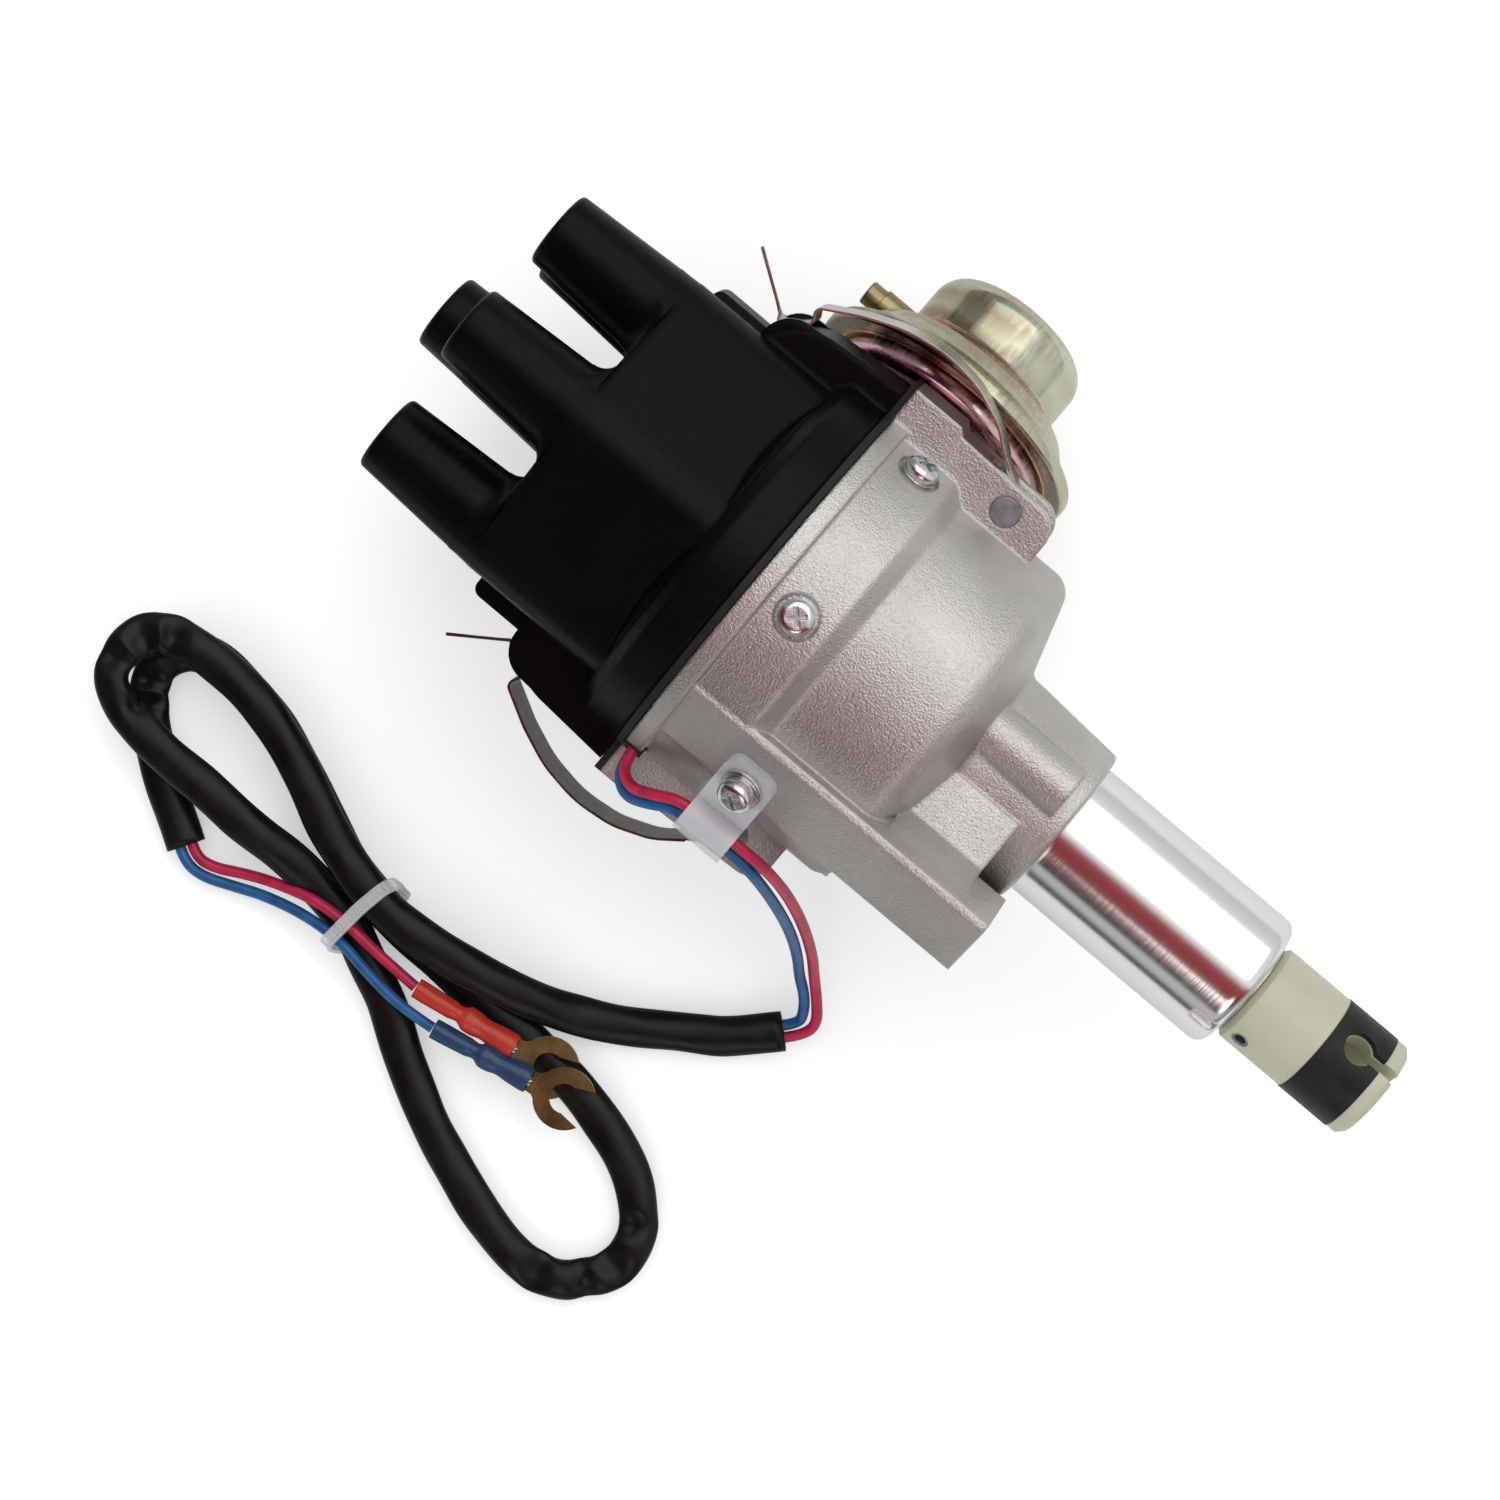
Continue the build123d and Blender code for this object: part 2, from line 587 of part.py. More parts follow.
def rotor_electrode():
    face = ROTOR_X - ROTOR_TOP + 2
    strip = block(
        face - ELECTRODE_THICKNESS, face,
        -ELECTRODE_WIDTH / 2, ELECTRODE_WIDTH / 2, -ELECTRODE_WIDTH / 2, ELECTRODE_REACH,
    )
    nose = block(
        face, face + 3.5,
        -ELECTRODE_WIDTH / 2, ELECTRODE_WIDTH / 2, ARM_REACH, ELECTRODE_REACH,
    )
    rounded = bar(ELECTRODE_REACH, face - ELECTRODE_THICKNESS, face + 3.5)
    return swung(ROTOR_ANGLE, (strip + nose) & rounded)


# Breaker plates and pick-up
def fixed_plate():
    plate = bar(FIXED_RADIUS, FIXED_X, FIXED_X + PLATE_THICKNESS)
    plate += bar(COLLAR_OUTER, COLLAR_TOP, FIXED_X)
    for angle in SCREW_ANGLES:
        tab = block(
            SCREW_X - TAB_WIDTH / 2, FIXED_X + PLATE_THICKNESS,
            -TAB_WIDTH / 2, TAB_WIDTH / 2, FIXED_RADIUS - TAB_THICKNESS, FIXED_RADIUS,
        )
        plate += swung(angle, tab)
        plate -= swung(angle, spoke(SCREW_RADIUS, FIXED_RADIUS - TAB_THICKNESS, FIXED_RADIUS, SCREW_X))
    return plate - bar(COLLAR_INNER, COLLAR_TOP, FIXED_X + PLATE_THICKNESS)


def moving_plate():
    plate = bar(MOVING_RADIUS, MOVING_X - PLATE_THICKNESS, MOVING_X)
    plate -= bar(COLLAR_OUTER + RUNNING, MOVING_X - PLATE_THICKNESS, MOVING_X)
    y, z = rod_pin_place()
    return plate + bar(ROD_PIN, MOVING_X - PLATE_THICKNESS - 3.2, MOVING_X, y, z)


def rod_pin_place():
    """Pin on the moving plate that the vacuum rod pulls, square to the rod at mid travel."""
    tilt = radians(CAN_TILT + VACUUM_TURN / 2)
    return -ROD_ARM * sin(tilt), -ROD_ARM * cos(tilt)


def pickup():
    """Magnet bracket, core and coil on the moving plate, facing the reluctor."""
    top = MOVING_X - PLATE_THICKNESS
    middle = RELUCTOR_X + RELUCTOR_LENGTH / 2
    inner = RELUCTOR_TIP + AIR_GAP
    core = spoke(CORE_RADIUS, inner, inner + 2 + COIL_DEPTH, middle)
    coil = Pos(middle, 0, inner + 1 + COIL_DEPTH / 2) * Box(9, COIL_WIDTH, COIL_DEPTH)
    coil = fillet(coil.edges().filter_by(Axis.Z), 2)
    bracket = block(middle - 3, top, -5, 5, inner + 1 + COIL_DEPTH, inner + 3 + COIL_DEPTH)
    foot = block(top - 1.5, top, -5, 5, inner + 4, inner + 3 + COIL_DEPTH)
    return swung(PICKUP_ANGLE, coil - core), swung(PICKUP_ANGLE, core + (bracket - core) + foot)


def hex_ring(radius, lobe, x0, x1):
    """Rounded hexagonal prism that wraps the six towers."""
    corners = [
        (radius * sin(radians(60 * k)), radius * cos(radians(60 * k))) for k in range(TOWER_COUNT)
    ]
    face = make_face(Polyline(*corners, close=True))
    face = offset(face, lobe, kind=Kind.ARC)
    return extrude(Plane.YZ.offset(x0) * face, amount=x1 - x0)


def tower(x_tip, x_root, tip_radius, root_radius):
    outline = FilletPolyline(
        (x_root, 0), (x_root, root_radius), (x_tip, tip_radius), (x_tip, 0),
        radius=[0.2, 1.0],
    )
    return revolve(make_face(outline + Line((x_tip, 0), (x_root, 0))), Axis.X)


def ear_outline():
    outline = make_face(Polyline(
        (CAP_MOUTH, TOWER_CIRCLE),
        (CAP_MOUTH, EAR_REACH + 1),
        (EAR_START, EAR_REACH - 1),
        (EAR_START, TOWER_CIRCLE),
        close=True,
    ))
    corner = outline.vertices().sort_by(lambda v: v.Y - v.X)[-1]
    return fillet(corner, EAR_ROUND)


def lead_socket(mouth):
    """Bore for a lead's end, wider at its foot where the terminal's cup is moulded in."""
    floor = mouth + SOCKET_DEPTH
    return bar(SOCKET_RADIUS, mouth, floor - CUP_LENGTH) + bar(TERMINAL_CUP, floor - CUP_LENGTH, floor)


def terminal_cup(mouth):
    floor = mouth + SOCKET_DEPTH
    cup = bar(TERMINAL_CUP, floor - CUP_LENGTH, floor)
    return cup - bar(TERMINAL_CUP - CUP_WALL, floor - CUP_LENGTH, floor - CUP_WALL)


def cap():
    slope_start = CAP_MOUTH - SKIRT_LENGTH - SKIRT_SLOPE
    body = hex_ring(TOWER_CIRCLE, DOME_LOBE, CAP_FACE, CAP_MOUTH - SKIRT_LENGTH)
    body = fillet(body.edges().filter_by(lambda e: abs(e.center().X - CAP_FACE) < 0.01), 1.5)
    body += turned([
        (CAP_MOUTH, 0),
        (CAP_MOUTH, SKIRT_RADIUS),
        (CAP_MOUTH - SKIRT_LENGTH, SKIRT_RADIUS),
        (slope_start, SKIRT_RADIUS - SKIRT_SLOPE),
        (slope_start, 0),
    ])
    for index in range(TOWER_COUNT):
        one = Pos(0, 0, TOWER_CIRCLE) * tower(TOWER_END, CAP_FACE + 3, TOWER_TIP, TOWER_ROOT)
        body += swung(index * TURN / TOWER_COUNT, one)
    body += tower(CENTRE_END, CAP_FACE + 3, TOWER_TIP, CENTRE_ROOT)
    for turn in SIDES:
        ear = extrude(ear_outline(), amount=EAR_HALF, both=True)
        rib = block(CAP_RIB_START, EAR_START + 2, TOWER_CIRCLE, CAP_RIB_REACH, -CAP_RIB_HALF, CAP_RIB_HALF)
        rib = fillet(rib.edges().filter_by(Axis.Z).sort_by(lambda e: e.center().Y - e.center().X)[-1], 2)
        body += clip_side(turn) * (ear + rib)
    body -= turned([
        (CAP_MOUTH, 0),
        (CAP_MOUTH, SKIRT_INNER),
        (slope_start, SKIRT_INNER),
        (slope_start - 4, CAVITY_RADIUS),
        (CAP_FACE + CAP_WALL, CAVITY_RADIUS),
        (CAP_FACE + CAP_WALL, 0),
    ])
    for index in range(TOWER_COUNT):
        socket = lead_socket(TOWER_END) + bar(TERMINAL_RADIUS, TOWER_END, TERMINAL_END)
        body -= swung(index * TURN / TOWER_COUNT, Pos(0, 0, TOWER_CIRCLE) * socket)
    body -= lead_socket(CENTRE_END)
    body -= bar(BRUSH_RADIUS + RUNNING, CENTRE_END, CAP_FACE + CAP_WALL + 1)
    return body


def terminal():
    post = bar(TERMINAL_RADIUS, TOWER_END + SOCKET_DEPTH, TERMINAL_END)
    return Pos(0, 0, TOWER_CIRCLE) * (post + terminal_cup(TOWER_END))


def centre_terminal():
    floor = CENTRE_END + SOCKET_DEPTH
    return terminal_cup(CENTRE_END) + bar(BRUSH_RADIUS + RUNNING, floor, floor + 2)


def carbon_brush():
    tip = ROTOR_X - ROTOR_TOP + 2 - ELECTRODE_THICKNESS - SEAL_GAP
    return fillet(bar(BRUSH_RADIUS, tip - BRUSH_LENGTH, tip).edges().sort_by(Axis.X)[-1], 0.5)


def brush_spring():
    start = CENTRE_END + SOCKET_DEPTH + 2
    end = ROTOR_X - ROTOR_TOP + 2 - ELECTRODE_THICKNESS - SEAL_GAP - BRUSH_LENGTH
    tube = bar(BRUSH_RADIUS - 0.3, start, end)
    return tube - bar(BRUSH_RADIUS - 0.9, start, end)


def cap_gasket():
    lip = RIM_RADIUS + GASKET_LIP / 2
    shape = bar(lip, CAP_MOUTH + SEAL_GAP, BOWL_MOUTH)
    for turn in SIDES:
        tab = block(CAP_MOUTH + SEAL_GAP, BOWL_MOUTH, 0, LUG_TOP, -LUG_HALF, LUG_HALF)
        shape += clip_side(turn) * tab
    shape -= bar(UPPER_RADIUS - WALL, CAP_MOUTH + SEAL_GAP, BOWL_MOUTH)
    return shape - lead_exit()


# Clips and their pins
def clip_pin(turn):
    return clip_side(turn) * (Pos(PIN_X, PIN_REACH, 0) * Cylinder(PIN_RADIUS, 2 * LUG_HALF + 0.6))


def clip_path():
    eye = PIN_RADIUS + PIN_FIT + CLIP_THICKNESS / 2
    return FilletPolyline(
        (PIN_X, PIN_REACH + eye),
        (-51.5, 46.9),
        (-58.5, 52.4),
        (-66.0, 55.4),
        (-74.5, 56.4),
        (-83.5, 54.9),
        (-91.0, 51.8),
        (-99.2, 47.2),
        (-97.7, 44.35),
        (-102.6, 40.4),
        (-114.7, 48.8),
        radius=[3, 14, 16, 24, 24, 20, 1.4, 1.2, 1.2],
    )


def clip(turn):
    """Sprung steel strip: an eye on the pin, a wide bow, a hook on the cap's ear and a finger tail."""
    path = clip_path()
    start = Plane(origin=path @ 0, x_dir=(0, 0, 1), z_dir=path % 0)
    strip = sweep(start * Rectangle(CLIP_WIDTH, CLIP_THICKNESS), path)
    eye_outer = PIN_RADIUS + PIN_FIT + CLIP_THICKNESS
    keep = block(-130, PIN_X - 6, 0, 80, -CLIP_WIDTH, CLIP_WIDTH)
    keep += block(PIN_X - 6, PIN_X, 0, 80, -TONGUE_WIDTH / 2, TONGUE_WIDTH / 2)
    strip = strip & keep
    eye = Pos(PIN_X, PIN_REACH, 0) * Cylinder(eye_outer, TONGUE_WIDTH)
    strip = (strip + eye) - Pos(PIN_X, PIN_REACH, 0) * Cylinder(PIN_RADIUS + PIN_FIT, 2 * CLIP_WIDTH)
    return clip_side(turn) * strip


# Screws with their washers
def pan_screw(length):
    """Pan head screw with its seat at z = 0 and a cross recess in the head."""
    head = Pos(0, 0, HEAD_HEIGHT / 2) * Cylinder(HEAD_RADIUS, HEAD_HEIGHT)
    head = fillet(head.edges().sort_by(Axis.Z)[-1], HEAD_HEIGHT * 0.55)
    for turn in (45, 135):
        arm = Pos(0, 0, HEAD_HEIGHT) * Rot(0, 0, turn) * Box(2 * RECESS_REACH, RECESS_WIDTH, HEAD_HEIGHT)
        head -= arm
    return head + Pos(0, 0, -length / 2) * Cylinder(SCREW_RADIUS, length)


def spring_washer(thickness=WASHER_THICKNESS, radius=WASHER_RADIUS, gap=0.8):
    ring = Cylinder(radius, thickness) - Cylinder(SCREW_RADIUS, thickness)
    if gap:
        ring -= Pos(radius - 0.8, 0, 0) * Rot(20, 0, 0) * Box(radius, gap, 3 * thickness)
    return Pos(0, 0, thickness / 2) * ring


def side_screws():
    seat = UPPER_RADIUS - SPOT_DEPTH
    stack = Pos(SCREW_X, 0, seat + WASHER_THICKNESS)
    return [swung(angle, stack * pan_screw(SCREW_LENGTH)) for angle in SCREW_ANGLES]


def side_washers():
    seat = Pos(SCREW_X, 0, UPPER_RADIUS - SPOT_DEPTH)
    return [swung(angle, seat * spring_washer()) for angle in SCREW_ANGLES]


# Vacuum advance
def spun(points, radii):
    """Sheet or solid turned about Z from a closed line of (radius, distance) points."""
    outline = FilletPolyline(*[(r, 0, d) for r, d in points], radius=radii, close=True)
    return revolve(make_face(outline), Axis.Z)


def inner_shell():
    flange = FLANGE_DISTANCE + CRIMP
    inside = SHELL_RADIUS - SHELL_WALL
    return canister_place() * spun(
        [
            (NECK_RADIUS - 1, SHELL_BACK),
            (SHELL_RADIUS, SHELL_BACK),
            (SHELL_RADIUS, flange),
            (FLANGE_RADIUS - CRIMP, flange),
            (FLANGE_RADIUS - CRIMP, flange + 0.8),
            (inside, flange + 0.8),
            (inside, SHELL_BACK + SHELL_WALL),
            (NECK_RADIUS - 1, SHELL_BACK + SHELL_WALL),
        ],
        [0.1, 2, 0.5, 0.1, 0.1, 0.8, 1, 0.1],
    )


def outer_shell():
    base = FLANGE_DISTANCE + FLANGE_THICKNESS
    wall = CRIMP + 0.2
    shell = spun(
        [
            (FLANGE_RADIUS - 3.4, FLANGE_DISTANCE),
            (FLANGE_RADIUS, FLANGE_DISTANCE),
            (FLANGE_RADIUS, base),
            (SHELL_RADIUS + 1.2, base + 2.2),
            (CUP_RADIUS + 5.4, base + 6.3),
            (CUP_RADIUS, base + 9.3),
            (CUP_RADIUS, CUP_END),
            (CUP_CORE, CUP_END),
            (CUP_CORE, CUP_END - wall),
            (CUP_RADIUS - wall, CUP_END - wall),
            (CUP_RADIUS - wall, base + 8.8),
            (CUP_RADIUS + 4.8, base + 5.6),
            (SHELL_RADIUS + 0.5, base + 1.5),
            (SHELL_RADIUS + 0.5, base - 0.9),
            (FLANGE_RADIUS - CRIMP, base - 0.9),
            (FLANGE_RADIUS - CRIMP, FLANGE_DISTANCE + CRIMP),
            (FLANGE_RADIUS - 3.4, FLANGE_DISTANCE + CRIMP),
        ],
        [0.1, 0.9, 0.9, 3, 3, 1.2, CUP_CORNER, 0.1, 0.1, CUP_CORNER - wall, 0.8, 2, 1.5, 0.4, 0.1, 0.1, 0.1],
    )
    shell += Pos(0, 0, CUP_END - wall / 2) * Cylinder(CUP_CORE + 0.2, wall)
    return canister_place() * (shell - nipple_tube(NIPPLE_ROOT, NIPPLE_ROOT_REACH))


def nipple_tube(radius, reach):
    """Length of the hose nipple that points away from the drive end, out of the canister's cone."""
    start = CUP_RADIUS - NIPPLE_SINK
    base = FLANGE_DISTANCE + FLANGE_THICKNESS + NIPPLE_HEIGHT
    return Pos(0, 0, base) * bar(radius, -start, -reach)


def nipple():
    tube = nipple_tube(NIPPLE_RADIUS, NIPPLE_REACH)
    tube = fillet(tube.edges().filter_by(GeomType.CIRCLE).sort_by(Axis.X)[0], NIPPLE_TIP)
    tube += nipple_tube(NIPPLE_ROOT, NIPPLE_ROOT_REACH)
    return canister_place() * (tube - nipple_tube(NIPPLE_BORE, NIPPLE_REACH))


def vacuum_bracket():
    plate = Pos(0, 0, SEAT_DISTANCE + BRACKET_THICKNESS / 2) * Box(11.4, 2 * SEAT_HALF, BRACKET_THICKNESS)
    plate = fillet(plate.edges().filter_by(Axis.Z), 3)
    top = SEAT_DISTANCE + BRACKET_THICKNESS
    plate += Pos(0, 0, (top + SHELL_BACK) / 2) * Cylinder(NECK_RADIUS, SHELL_BACK - top)
    plate += Pos(0, 0, SHELL_BACK + SHELL_WALL / 2) * Cylinder(NECK_RADIUS - 1, SHELL_WALL)
    plate -= Pos(0, 0, SHELL_BACK) * Cylinder(ROD_HOLE, 12)
    for side in (-1, 1):
        plate -= Pos(0, side * BRACKET_SCREW, SEAT_DISTANCE) * Cylinder(SCREW_RADIUS, 6)
    return canister_place() * plate


def bracket_screws():
    screws = []
    for side in (-1, 1):
        seat = Pos(0, side * BRACKET_SCREW, SEAT_DISTANCE + BRACKET_THICKNESS)
        head = Pos(0, 0, 0.6) * Cylinder(HEAD_RADIUS - 0.6, 1.2)
        shank = Pos(0, 0, -SCREW_LENGTH / 2) * Cylinder(SCREW_RADIUS, SCREW_LENGTH)
        screws.append(canister_place() * seat * (head + shank))
    return screws


def diaphragm():
    middle = FLANGE_DISTANCE + CRIMP + 0.8
    rim = FLANGE_DISTANCE + FLANGE_THICKNESS - 0.9
    disc = Pos(0, 0, (middle + rim) / 2) * Cylinder(FLANGE_RADIUS - CRIMP - SEAL_GAP, rim - middle)
    return canister_place() * (disc - Pos(0, 0, middle) * Cylinder(ROD_WIDTH / 2, 4))


def vacuum_spring():
    start = FLANGE_DISTANCE + FLANGE_THICKNESS - 0.9 + 1 + CLEAR
    length = CUP_END - CRIMP - 0.2 - CLEAR - start
    coil = Helix(pitch=length / 5, height=length - 2 * SPRING_WIRE, radius=CUP_RADIUS - 5)
    section = Plane(origin=coil @ 0, z_dir=coil % 0) * Circle(SPRING_WIRE)
    return canister_place() * Pos(0, 0, start + SPRING_WIRE) * sweep(section, coil, is_frenet=True)


def rod_points():
    rest = radians(VACUUM_TURN / 2)
    pin = (ROD_ARM * cos(rest) - CAN_OFFSET, -ROD_ARM * sin(rest))
    return pin, (0, ROD_KNEE), (0, FLANGE_DISTANCE + CRIMP + 0.8)


def vacuum_rod():
    """Flat link from the diaphragm to the pin on the moving plate, with its plate at the diaphragm."""
    pin, knee, end = rod_points()
    line = FilletPolyline((0, *pin), (0, *knee), (0, *end), radius=4)
    start = Plane(origin=line @ 0, x_dir=(1, 0, 0), z_dir=line % 0)
    link = sweep(start * Rectangle(ROD_THICKNESS, ROD_WIDTH), line)
    link += Pos(0, *pin) * Rot(0, 90, 0) * Cylinder(ROD_EYE, ROD_THICKNESS)
    link -= Pos(0, *pin) * Rot(0, 90, 0) * Cylinder(ROD_PIN + 0.15, 3 * ROD_THICKNESS)
    rim = FLANGE_DISTANCE + FLANGE_THICKNESS - 0.9
    link += Pos(0, 0, (end[1] + rim) / 2) * Cylinder(ROD_WIDTH / 2, rim - end[1] + 0.4)
    link += Pos(0, 0, rim + 0.5) * Cylinder(CUP_RADIUS - 3.5, 1)
    return canister_place() * link


# Drive end
def keyhole(width, radius):
    hole = spoke(radius, DRIVE_BORE - 2, COUPLING_RADIUS + 2, KEYHOLE_X)
    slot = block(KEYHOLE_X, COUPLING_END + 1, -width / 2, width / 2, DRIVE_BORE - 2, COUPLING_RADIUS + 2)
    return swung(KEYHOLE_ANGLE, hole + slot)


def roll_pin():
    pin = spoke(ROLL_PIN_RADIUS, -COUPLING_RADIUS + 0.2, COUPLING_RADIUS - 0.2, ROLL_PIN_X)
    pin -= spoke(ROLL_PIN_RADIUS - 0.6, -COUPLING_RADIUS, COUPLING_RADIUS, ROLL_PIN_X)
    return swung(ROLL_PIN_ANGLE, pin)


def drive_coupling():
    body = bar(COUPLING_RADIUS, COUPLING_START, COUPLING_END)
    body = chamfer(body.edges().filter_by(GeomType.CIRCLE), COUPLING_CHAMFER)
    body -= bar(COUPLING_RADIUS + 1, RING_START, RING_END) - bar(COUPLING_RADIUS - RING_DEPTH, RING_START, RING_END)
    body -= bar(SHAFT_RADIUS - 1, COUPLING_START, COUPLING_END - DRIVE_DEPTH)
    body -= bar(DRIVE_BORE, COUPLING_END - DRIVE_DEPTH, COUPLING_END)
    body -= swung(ROLL_PIN_ANGLE, spoke(ROLL_PIN_RADIUS, -COUPLING_RADIUS, COUPLING_RADIUS, ROLL_PIN_X))
    return body - keyhole(SLOT_WIDTH, KEYHOLE_RADIUS)


def coupling_ring():
    ring = bar(COUPLING_RADIUS + RING_PROUD, RING_START, RING_END)
    ring -= bar(COUPLING_RADIUS - RING_DEPTH, RING_START, RING_END)
    return ring - keyhole(SLOT_WIDTH + 0.6, KEYHOLE_RADIUS + CLEAR)


def thrust_washer():
    start = SPIGOT_LENGTH + SEAL_GAP / 2
    washer = bar(COUPLING_RADIUS - 0.7, start, start + THRUST_WASHER - SEAL_GAP)
    return washer - bar(SHAFT_RADIUS - 1 + RUNNING, start, start + THRUST_WASHER)


# Wire clamp and harness
def wire_clamp():
    """Nylon clip folded round the two leads, both its ends under one screw."""
    loop = CLAMP_LOOP + CLAMP_THICKNESS
    centre = Pos(0, -CLAMP_SEAT - CLAMP_LOOP, loop)
    shape = centre * Rot(0, 90, 0) * Cylinder(loop, CLAMP_WIDTH)
    tab = Box(CLAMP_WIDTH, CLAMP_SEAT + CLAMP_LOOP + 5, 2 * CLAMP_THICKNESS)
    shape += Pos(0, (5 - CLAMP_SEAT - CLAMP_LOOP) / 2, CLAMP_THICKNESS) * tab
    shape = fillet(shape.edges().filter_by(Axis.Z).sort_by(Axis.Y)[-2:], 3)
    shape -= centre * Rot(0, 90, 0) * Cylinder(CLAMP_LOOP, CLAMP_WIDTH)
    return clamp_place() * (shape - Cylinder(SCREW_RADIUS, 12))


def clamp_fixing():
    base = 2 * CLAMP_THICKNESS
    plain = Pos(0, 0, base + 0.4) * (Cylinder(HEAD_RADIUS + 0.9, 0.8) - Cylinder(SCREW_RADIUS, 0.8))
    sprung = Pos(0, 0, base + 0.8) * spring_washer()
    screw = Pos(0, 0, base + 0.8 + WASHER_THICKNESS) * pan_screw(9)
    return clamp_place() * screw, [clamp_place() * plain, clamp_place() * sprung]


def grommet():
    """Rubber block in the rim's notch with a hole for each lead."""
    body = block(CAP_MOUTH + SEAL_GAP, BOWL_MOUTH + 4.3, -3.45, 3.45, GROMMET_INNER, GROMMET_OUTER)
    body = fillet(body.edges().filter_by(Axis.Z), 0.6)
    for side in (-LEAD_SPREAD, LEAD_SPREAD):
        hole = spoke(LEAD_RADIUS + RUNNING, GROMMET_INNER, GROMMET_OUTER, BOWL_MOUTH + 2.2)
        body -= Pos(0, side, 0) * hole
    return swung(LEAD_ANGLE, body)


def cord_radii(points):
    """Largest arcs that the runs between the points of a cord's route allow."""
    radii = []
    for before, here, after in zip(points, points[1:], points[2:]):
        run_in, run_out = here - before, after - here
        turn = radians(run_in.get_angle(run_out))
        radii.append(CORD_BEND * min(run_in.length, run_out.length) / tan(turn / 2))
    return radii


def cord(name, route, radius, bore=0.0):
    points = [Vector(*point) for point in route]
    radii = cord_radii(points)
    line = FilletPolyline(*points, radius=radii)
    start = Plane(origin=line @ 0, z_dir=line % 0)
    section = start * Circle(radius)
    if bore:
        section -= start * Circle(bore)
    tube = sweep(section, line)
    share = tube.volume / ((pi * (radius**2 - bore**2)) * line.length)
    tightest = min(radii) / (2 * radius)
    print(f"{name}: length {line.length:.0f}, volume share {share:.4f}, tightest bend {tightest:.1f} diameters")
    print("   radii " + " ".join(f"{value:.0f}" for value in radii))
    return tube


def shrink_place(ends):
    """Start of a heat-shrink tube with z along it and x level."""
    start, end = Vector(*ends[0]), Vector(*ends[1])
    ahead = end - start
    return Plane(origin=start, x_dir=Vector(0, 0, 1).cross(ahead), z_dir=ahead), ahead.length


def shrink(ends):
    place, length = shrink_place(ends)
    outline = FilletPolyline(
        (0, 0, 0),
        (SHRINK_RADIUS, 0, 0),
        (SHRINK_RADIUS, 0, length * 0.42),
        (SHRINK_THICK, 0, length * 0.52),
        (SHRINK_THICK, 0, length),
        (0, 0, length),
        radius=[0.3, 2, 2, 0.3],
    )
    return place * revolve(make_face(outline + Line((0, 0, length), (0, 0, 0))), Axis.Z)


def fork(ends):
    """Spade terminal whose barrel sits in the shrink and whose blade lies level in front of it."""
    place, length = shrink_place(ends)
    disc = Circle(FORK_RADIUS)
    tongue = make_face(Polyline(
        (1.2 - FORK_DISTANCE, -2.2), (-3, -5), (-3, 5), (1.2 - FORK_DISTANCE, 2.2), close=True,
    ))
    mouth = make_face(Polyline(
        (0, -FORK_SLOT), (FORK_RADIUS + 1, -FORK_SLOT - 2), (FORK_RADIUS + 1, FORK_SLOT + 2), (0, FORK_SLOT), close=True,
    ))
    blade = extrude(disc + tongue - mouth - Circle(FORK_SLOT + 0.3), amount=FORK_THICKNESS)
    neck = Pos(0.6 - FORK_DISTANCE, 0, (FORK_DROP + FORK_THICKNESS) / 2) * Box(
        1.2, 4.4, FORK_DROP + FORK_THICKNESS
    )
    centre = (0, -FORK_DROP - FORK_THICKNESS, length + FORK_DISTANCE)
    level = Plane(origin=centre, x_dir=(0, 0, 1), z_dir=(0, 1, 0))
    return place * (level * (blade + neck))


def cable_tie():
    """Ribbed nylon strap round the three strands and the two tails."""
    loop = FilletPolyline(
        (4.1, -37.2), (4.1, -51.55), (-12.3, -51.55), (-13.3, -41.2), (-4.0, -37.2),
        radius=[3.4, 3.4, 3.3, 1.4, 3], close=True,
    )
    inside = make_face(loop)
    band = extrude(offset(inside, TIE_THICKNESS) - inside, amount=TIE_WIDTH / 2, both=True)
    ahead = (cos(radians(TIE_SKEW)), -sin(radians(TIE_SKEW)), 0)
    return Plane(origin=TIE_CENTRE, x_dir=(-ahead[1], ahead[0], 0), z_dir=ahead) * band


def harness():
    save("red_lead", cord("red_lead", RED_LEAD, LEAD_RADIUS))
    save("blue_lead", cord("blue_lead", BLUE_LEAD, LEAD_RADIUS))
    save("sleeve", cord("sleeve", SLEEVE, SLEEVE_TUBE_RADIUS))
    save("red_tail", cord("red_tail", RED_TAIL, LEAD_RADIUS))
    save("blue_tail", cord("blue_tail", BLUE_TAIL, LEAD_RADIUS))
    save("red_shrink", shrink(RED_SHRINK))
    save("blue_shrink", shrink(BLUE_SHRINK))
    save("red_fork", fork(RED_SHRINK))
    save("blue_fork", fork(BLUE_SHRINK))
    save("cable_tie", cable_tie())


